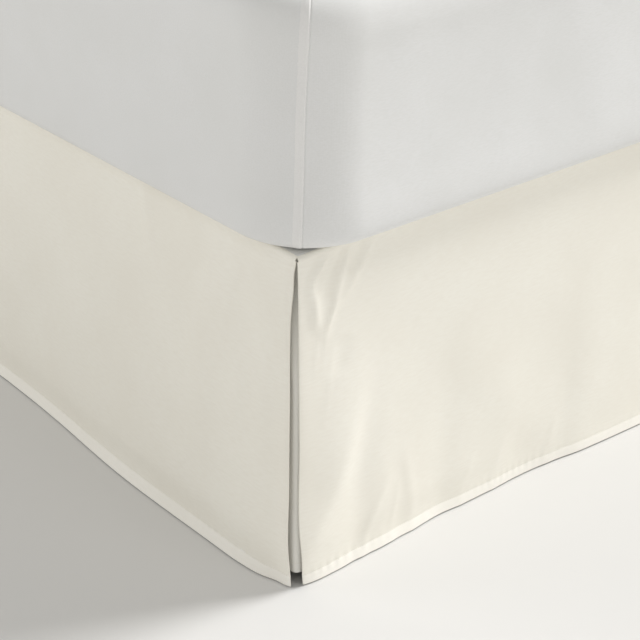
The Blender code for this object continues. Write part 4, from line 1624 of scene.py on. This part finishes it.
@dataclass
class BoxSpring:
    """The covered block that the drops hang round.

    Attributes:
        height: Its height.
        edge_radius: Radius of its upper and lower edges.
        piping_radius: Radius of the cord sewn into its edges.
        drawn_in: How far its sides are drawn in halfway up.
        dust_gap: How far the dust cover's underside lies below the block's.
        dust_inset: How far in the dust cover's edge lies.
        dust_thickness: The dust cover's thickness.
        staple_inset: How far in the staples lie.
        staple_step: Distance from staple to staple.
        staple_length: Length of a staple's crown.
        staple_thickness: Thickness of its wire.
    """

    height: float = 0.2272
    edge_radius: float = 0.006
    piping_radius: float = 2.2 * MM
    drawn_in: float = 1.2 * MM
    dust_gap: float = 0.25 * MM
    dust_inset: float = 12.0 * MM
    dust_thickness: float = 0.45 * MM
    staple_inset: float = 19.0 * MM
    staple_step: float = 45.0 * MM
    staple_length: float = 11.0 * MM
    staple_thickness: float = 1.1 * MM

    def outline(self, inset: float, count: int) -> Array:
        """Plan points round the block at an inset."""
        places = np.concatenate([
            unit + np.linspace(0.0, 1.0, 12 if unit % 2 == 0 else count, endpoint=False)
            for unit in range(8)
        ])
        gap = 2.0 * (BOX_INSET + inset)
        radius = BOX_CORNER_RADIUS - inset
        return rounded_outline(BED_WIDTH - gap, BED_LENGTH - gap, radius, places)

    def loop(self, inset: float, height: float) -> Array:
        """A closed path round the block at an inset and a height."""
        plan = self.outline(inset, 60)
        return np.concatenate([plan, np.full((len(plan), 1), height)], axis=1)

    def build(self, palette: Palette) -> None:
        """Make the block, its piping and the dust cover under it.

        Args:
            palette: The materials.
        """
        top = DECK_HEIGHT - DECK_OVER_BOX
        low = top - self.height
        self.build_block(palette, low, top)
        reach = self.piping_radius
        for edge, height in (("lower", low + reach), ("upper", top - reach)):
            mesh = tube_mesh(f"box_spring_piping_{edge}", self.loop(reach, height), reach, 8, True)
            add_piece(mesh.name, mesh, palette.get(palette.TICKING))
        self.build_underside(palette, low)

    def build_underside(self, palette: Palette, low: float) -> None:
        """Make the dust cover and the staples that hold its edge.

        Args:
            palette: The materials.
            low: Height of the block's underside.
        """
        inset = self.dust_inset
        thick = self.dust_thickness
        under = low - self.dust_gap
        rings = [self.loop(inset + 0.3 * thick, under), self.loop(inset, under + 0.3 * thick),
                 self.loop(inset, under + thick)]
        mesh = ring_mesh("box_spring_dust_cover", rings)
        cover = add_piece(mesh.name, mesh, palette.get(palette.DUST_COVER))
        path = self.loop(self.staple_inset, under)
        staples = StitchMaker(self.staple_step, self.staple_length, self.staple_thickness)
        staples.sew("box_spring_staples", [path], palette.get(palette.ZINC))

    def build_block(self, palette: Palette, low: float, top: float) -> None:
        """Make the block, eased at its edges and a little drawn in between them.

        Args:
            palette: The materials.
            low: Height of its underside.
            top: Height of its upper side.
        """
        rings = []
        turns = np.linspace(0.0, 0.5 * math.pi, 5)
        rounds = [(self.edge_radius * (1.0 - math.sin(t)), self.edge_radius * (1.0 - math.cos(t)))
                  for t in turns]
        levels = [(low + rise, inset) for inset, rise in rounds]
        for share in np.linspace(0.0, 1.0, 14)[1:-1]:
            level = levels[4][0] + (top - low - 2 * self.edge_radius) * share
            levels.append((level, self.drawn_in * math.sin(math.pi * share)))
        levels += [(top - rise, inset) for inset, rise in rounds[::-1]]
        for level, inset in levels:
            plan = self.outline(inset, 40)
            rings.append(np.concatenate([plan, np.full((len(plan), 1), level)], axis=1))
        mesh = ring_mesh("box_spring_block", rings)
        add_piece("box_spring_block", mesh, palette.get(palette.TICKING), ["box_spring"])


# The stage

@dataclass
class Stage:
    """Floor, light and camera.

    Attributes:
        camera_from_corner: The camera's place from the seen corner of the skirt plane.
        yaw: Its turn from +Y towards +X, in degrees.
        pitch: Its tilt down, in degrees.
        roll: Its roll, in degrees.
        focal_pixels: Focal length in pixels of a 640 pixel image.
        light_way: Plan direction that the key light comes from.
        light_height: Its elevation, in degrees.
        light_power: The key light's strength.
        light_spread: The key light's width, in degrees.
        fill_power: The surrounding light's strength.
        fill_colour: The surrounding light's colour.
        front_power: Power of the soft light before the foot.
        side_power: Power of the soft light beside the bed.
        panel_size: Size of a soft light.
        floor_colour: The floor's colour.
        floor_reach: How far the floor runs from the middle.
    """

    camera_from_corner: tuple[float, float, float] = (-0.85774, -1.03795, 1.02154)
    yaw: float = 40.511
    pitch: float = 27.681
    roll: float = 0.784
    focal_pixels: float = 1603.2
    image_pixels: float = 640.0
    sensor: float = 36.0
    light_way: tuple[float, float] = (0.97, -0.24)
    light_height: float = 46.0
    light_power: float = 2.35
    light_spread: float = 18.0
    fill_power: float = 0.53
    fill_colour: str = "#fffefb"
    front_power: float = 21.5
    side_power: float = 29.5
    panel_size: float = 1.8
    floor_colour: str = "#dedddb"
    floor_reach: float = 9.0

    def build(self) -> None:
        """Make floor, lights and camera."""
        self.add_floor()
        self.add_lights()
        self.add_camera()

    def add_floor(self) -> None:
        """A plain pale floor, matt, of one even tone."""
        mesh = bpy.data.meshes.new("floor")
        reach = self.floor_reach
        low = -0.2 * MM
        mesh.from_pydata(
            [(-reach, -reach, low), (reach, -reach, low), (reach, reach, low), (-reach, reach, low)],
            [], [(0, 1, 2, 3)],
        )
        floor = bpy.data.objects.new("floor", mesh)
        bpy.context.scene.collection.objects.link(floor)
        material, _, shader = new_material("pale floor")
        shader.inputs["Base Color"].default_value = linear(self.floor_colour)
        shader.inputs["Roughness"].default_value = 0.85
        shader.inputs["Specular IOR Level"].default_value = 0.1
        mesh.materials.append(material)

    def add_lights(self) -> None:
        """A broad key light from the right of the foot, a soft light on the corner and a pale surround."""
        key = bpy.data.lights.new("key", "SUN")
        key.energy = self.light_power
        key.angle = math.radians(self.light_spread)
        lamp = bpy.data.objects.new("key", key)
        rise = math.radians(self.light_height)
        way = Vector((*self.light_way, 0.0)).normalized() * math.cos(rise)
        way.z = math.sin(rise)
        lamp.rotation_euler = way.to_track_quat("Z", "Y").to_euler()
        bpy.context.scene.collection.objects.link(lamp)
        self.add_panel("front", self.front_power, (1.4, -4.3, 0.9), (0.31, -0.95, 0.14))
        self.add_panel("side", self.side_power, (-2.6, 2.8, 1.5), (-0.66, 0.74, 0.32))
        world = bpy.data.worlds.new("surround")
        world.use_nodes = True
        background = world.node_tree.nodes["Background"]
        background.inputs["Color"].default_value = linear(self.fill_colour)
        background.inputs["Strength"].default_value = self.fill_power
        bpy.context.scene.world = world
        bpy.context.scene.view_settings.view_transform = "Standard"

    def add_panel(
        self, name: str, power: float, from_corner: tuple[float, float, float],
        way: tuple[float, float, float],
    ) -> None:
        """A soft square light.

        Args:
            name: The light's name.
            power: Its power in watts.
            from_corner: Its place from the seen corner of the skirt plane.
            way: The direction that it stands in, seen from what it lights.
        """
        light = bpy.data.lights.new(name, "AREA")
        light.energy = power
        light.size = self.panel_size
        panel = bpy.data.objects.new(name, light)
        panel.location = Vector((-HALF_WIDTH, -HALF_LENGTH, 0.0)) + Vector(from_corner)
        panel.rotation_euler = Vector(way).to_track_quat("Z", "Y").to_euler()
        bpy.context.scene.collection.objects.link(panel)

    def add_camera(self) -> None:
        """The camera at the photograph's place and angle."""
        yaw, pitch, roll = (math.radians(value) for value in (self.yaw, self.pitch, self.roll))
        forward = Vector((
            math.sin(yaw) * math.cos(pitch), math.cos(yaw) * math.cos(pitch), -math.sin(pitch),
        ))
        level = Vector((math.cos(yaw), -math.sin(yaw), 0.0))
        upright = level.cross(forward)
        across = math.cos(roll) * level + math.sin(roll) * upright
        upward = -math.sin(roll) * level + math.cos(roll) * upright
        turn = Matrix((across, upward, -forward)).transposed().to_4x4()
        corner = Vector((-HALF_WIDTH, -HALF_LENGTH, 0.0))
        data = bpy.data.cameras.new("camera")
        data.sensor_width = self.sensor
        data.lens = self.focal_pixels / self.image_pixels * self.sensor
        camera = bpy.data.objects.new("camera", data)
        camera.matrix_world = Matrix.Translation(corner + Vector(self.camera_from_corner)) @ turn
        bpy.context.scene.collection.objects.link(camera)
        bpy.context.scene.camera = camera


# The steel frame

FOOT_PROFILE = (
    Turn(24.6 * MM, 0.3 * MM), Turn(25.8 * MM, 1.4 * MM), Turn(25.8 * MM, 8.4 * MM),
    Turn(24.4 * MM, 9.9 * MM), Turn(20.2 * MM, 11.6 * MM), Turn(18.1 * MM, 14.5 * MM),
    Turn(17.7 * MM, 30.0 * MM), Turn(18.3 * MM, 31.0 * MM), Turn(18.3 * MM, 33.4 * MM),
    Turn(17.6 * MM, 34.2 * MM),
)
BOLT_PROFILE = (
    Turn(9.0 * MM, -0.6 * MM), Turn(9.0 * MM, 1.2 * MM), Turn(8.6 * MM, 1.6 * MM),
    Turn(7.5 * MM, 1.6 * MM, True), Turn(7.5 * MM, 5.4 * MM, True), Turn(6.5 * MM, 6.4 * MM, True),
    Turn(5.6 * MM, 6.6 * MM),
)


@dataclass
class SteelFrame:
    """The tube frame under the box spring, with its moulded feet and caps and its bolts.

    Attributes:
        bolt_rise: How far above and below a rail's middle its two bolts sit.
        cap_length: How far an end cap stands out of its rail.
        cap_proud: How far its rim stands past the rail's sides.
        cap_rounding: Radius of its upright edges.
    """

    bolt_rise: float = 9.0 * MM
    cap_length: float = 5.0 * MM
    cap_proud: float = 1.2 * MM
    cap_rounding: float = 4.0 * MM

    def build(self, palette: Palette) -> None:
        """Dress the frame's solids and add what is fitted to them.

        Args:
            palette: The materials.
        """
        coat = palette.get(palette.POWDER_COAT)
        moulded = palette.get(palette.MOULDED)
        for name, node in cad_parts.items():
            if name.startswith(("leg_", "side_rail_", "cross_rail_")):
                node.data.materials.clear()
                node.data.materials.append(coat)
        feet = [self.middle(name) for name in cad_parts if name.startswith("leg_")]
        set_out(
            "leg_feet", turned_mesh("foot", FOOT_PROFILE, 24), [(x, y, 0.0) for x, y, _ in feet],
            [(0.0, 0.0, 1.0)] * len(feet), moulded,
        )
        self.add_bolts(palette)
        for side in ("left", "right"):
            self.add_caps(f"side_rail_{side}", moulded)

    def middle(self, node: str) -> tuple[float, float, float]:
        """The middle of a node's box."""
        low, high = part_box(node)
        return tuple(0.5 * (low[axis] + high[axis]) for axis in range(3))

    def add_bolts(self, palette: Palette) -> None:
        """Set two bolts through each side rail at each cross rail.

        Args:
            palette: The materials.
        """
        places, facings = [], []
        for side, way in (("left", -1.0), ("right", 1.0)):
            low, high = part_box(f"side_rail_{side}")
            face = high[0] if way > 0 else low[0]
            for cross in ("foot", "middle", "head"):
                _, y, z = self.middle(f"cross_rail_{cross}")
                for rise in (-self.bolt_rise, self.bolt_rise):
                    places.append((face, y, z + rise))
                    facings.append((way, 0.0, 0.0))
        set_out(
            "rail_bolts", turned_mesh("bolt", BOLT_PROFILE, 24), places, facings,
            palette.get(palette.ZINC),
        )

    def add_caps(self, rail: str, material: bpy.types.Material) -> None:
        """Close a rail's two ends with moulded caps.

        Args:
            rail: The rail's node.
            material: The caps' material.
        """
        low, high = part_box(rail)
        width = high[0] - low[0] + 2.0 * self.cap_proud
        depth = high[2] - low[2]
        middle_x, _, middle_z = self.middle(rail)
        places = np.concatenate([
            unit + np.linspace(0.0, 1.0, 4, endpoint=False) for unit in range(8)
        ])
        steps = ((-1.0 * MM, 0.0), (0.6 * self.cap_length, 0.0), (self.cap_length, 1.4 * MM))
        for end, face, way in (("foot", low[1], -1.0), ("head", high[1], 1.0)):
            rings = []
            for out, inset in steps:
                plan = rounded_outline(
                    width - 2.0 * inset, depth - 2.0 * inset, self.cap_rounding - inset, places,
                )
                y = np.full(len(plan), face + way * out)
                rings.append(np.stack([middle_x - way * plan[:, 0], y, middle_z + plan[:, 1]], axis=-1))
            mesh = ring_mesh(f"{rail}_cap_{end}", rings)
            add_piece(mesh.name, mesh, material)


def write_sizes() -> None:
    """Bring the view layer up to date."""
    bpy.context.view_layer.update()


def main() -> None:
    """Build the dressed bed and its skirt, piece by piece."""
    logging.basicConfig(level=logging.INFO, format="%(name)s %(message)s")
    palette = Palette()
    stitches = StitchMaker()
    Stage().build()
    BoxSpring().build(palette)
    Skirt().build(palette, stitches)
    Mattress().build(palette)
    SteelFrame().build(palette)
    write_sizes()


if __name__ == "__main__":
    main()
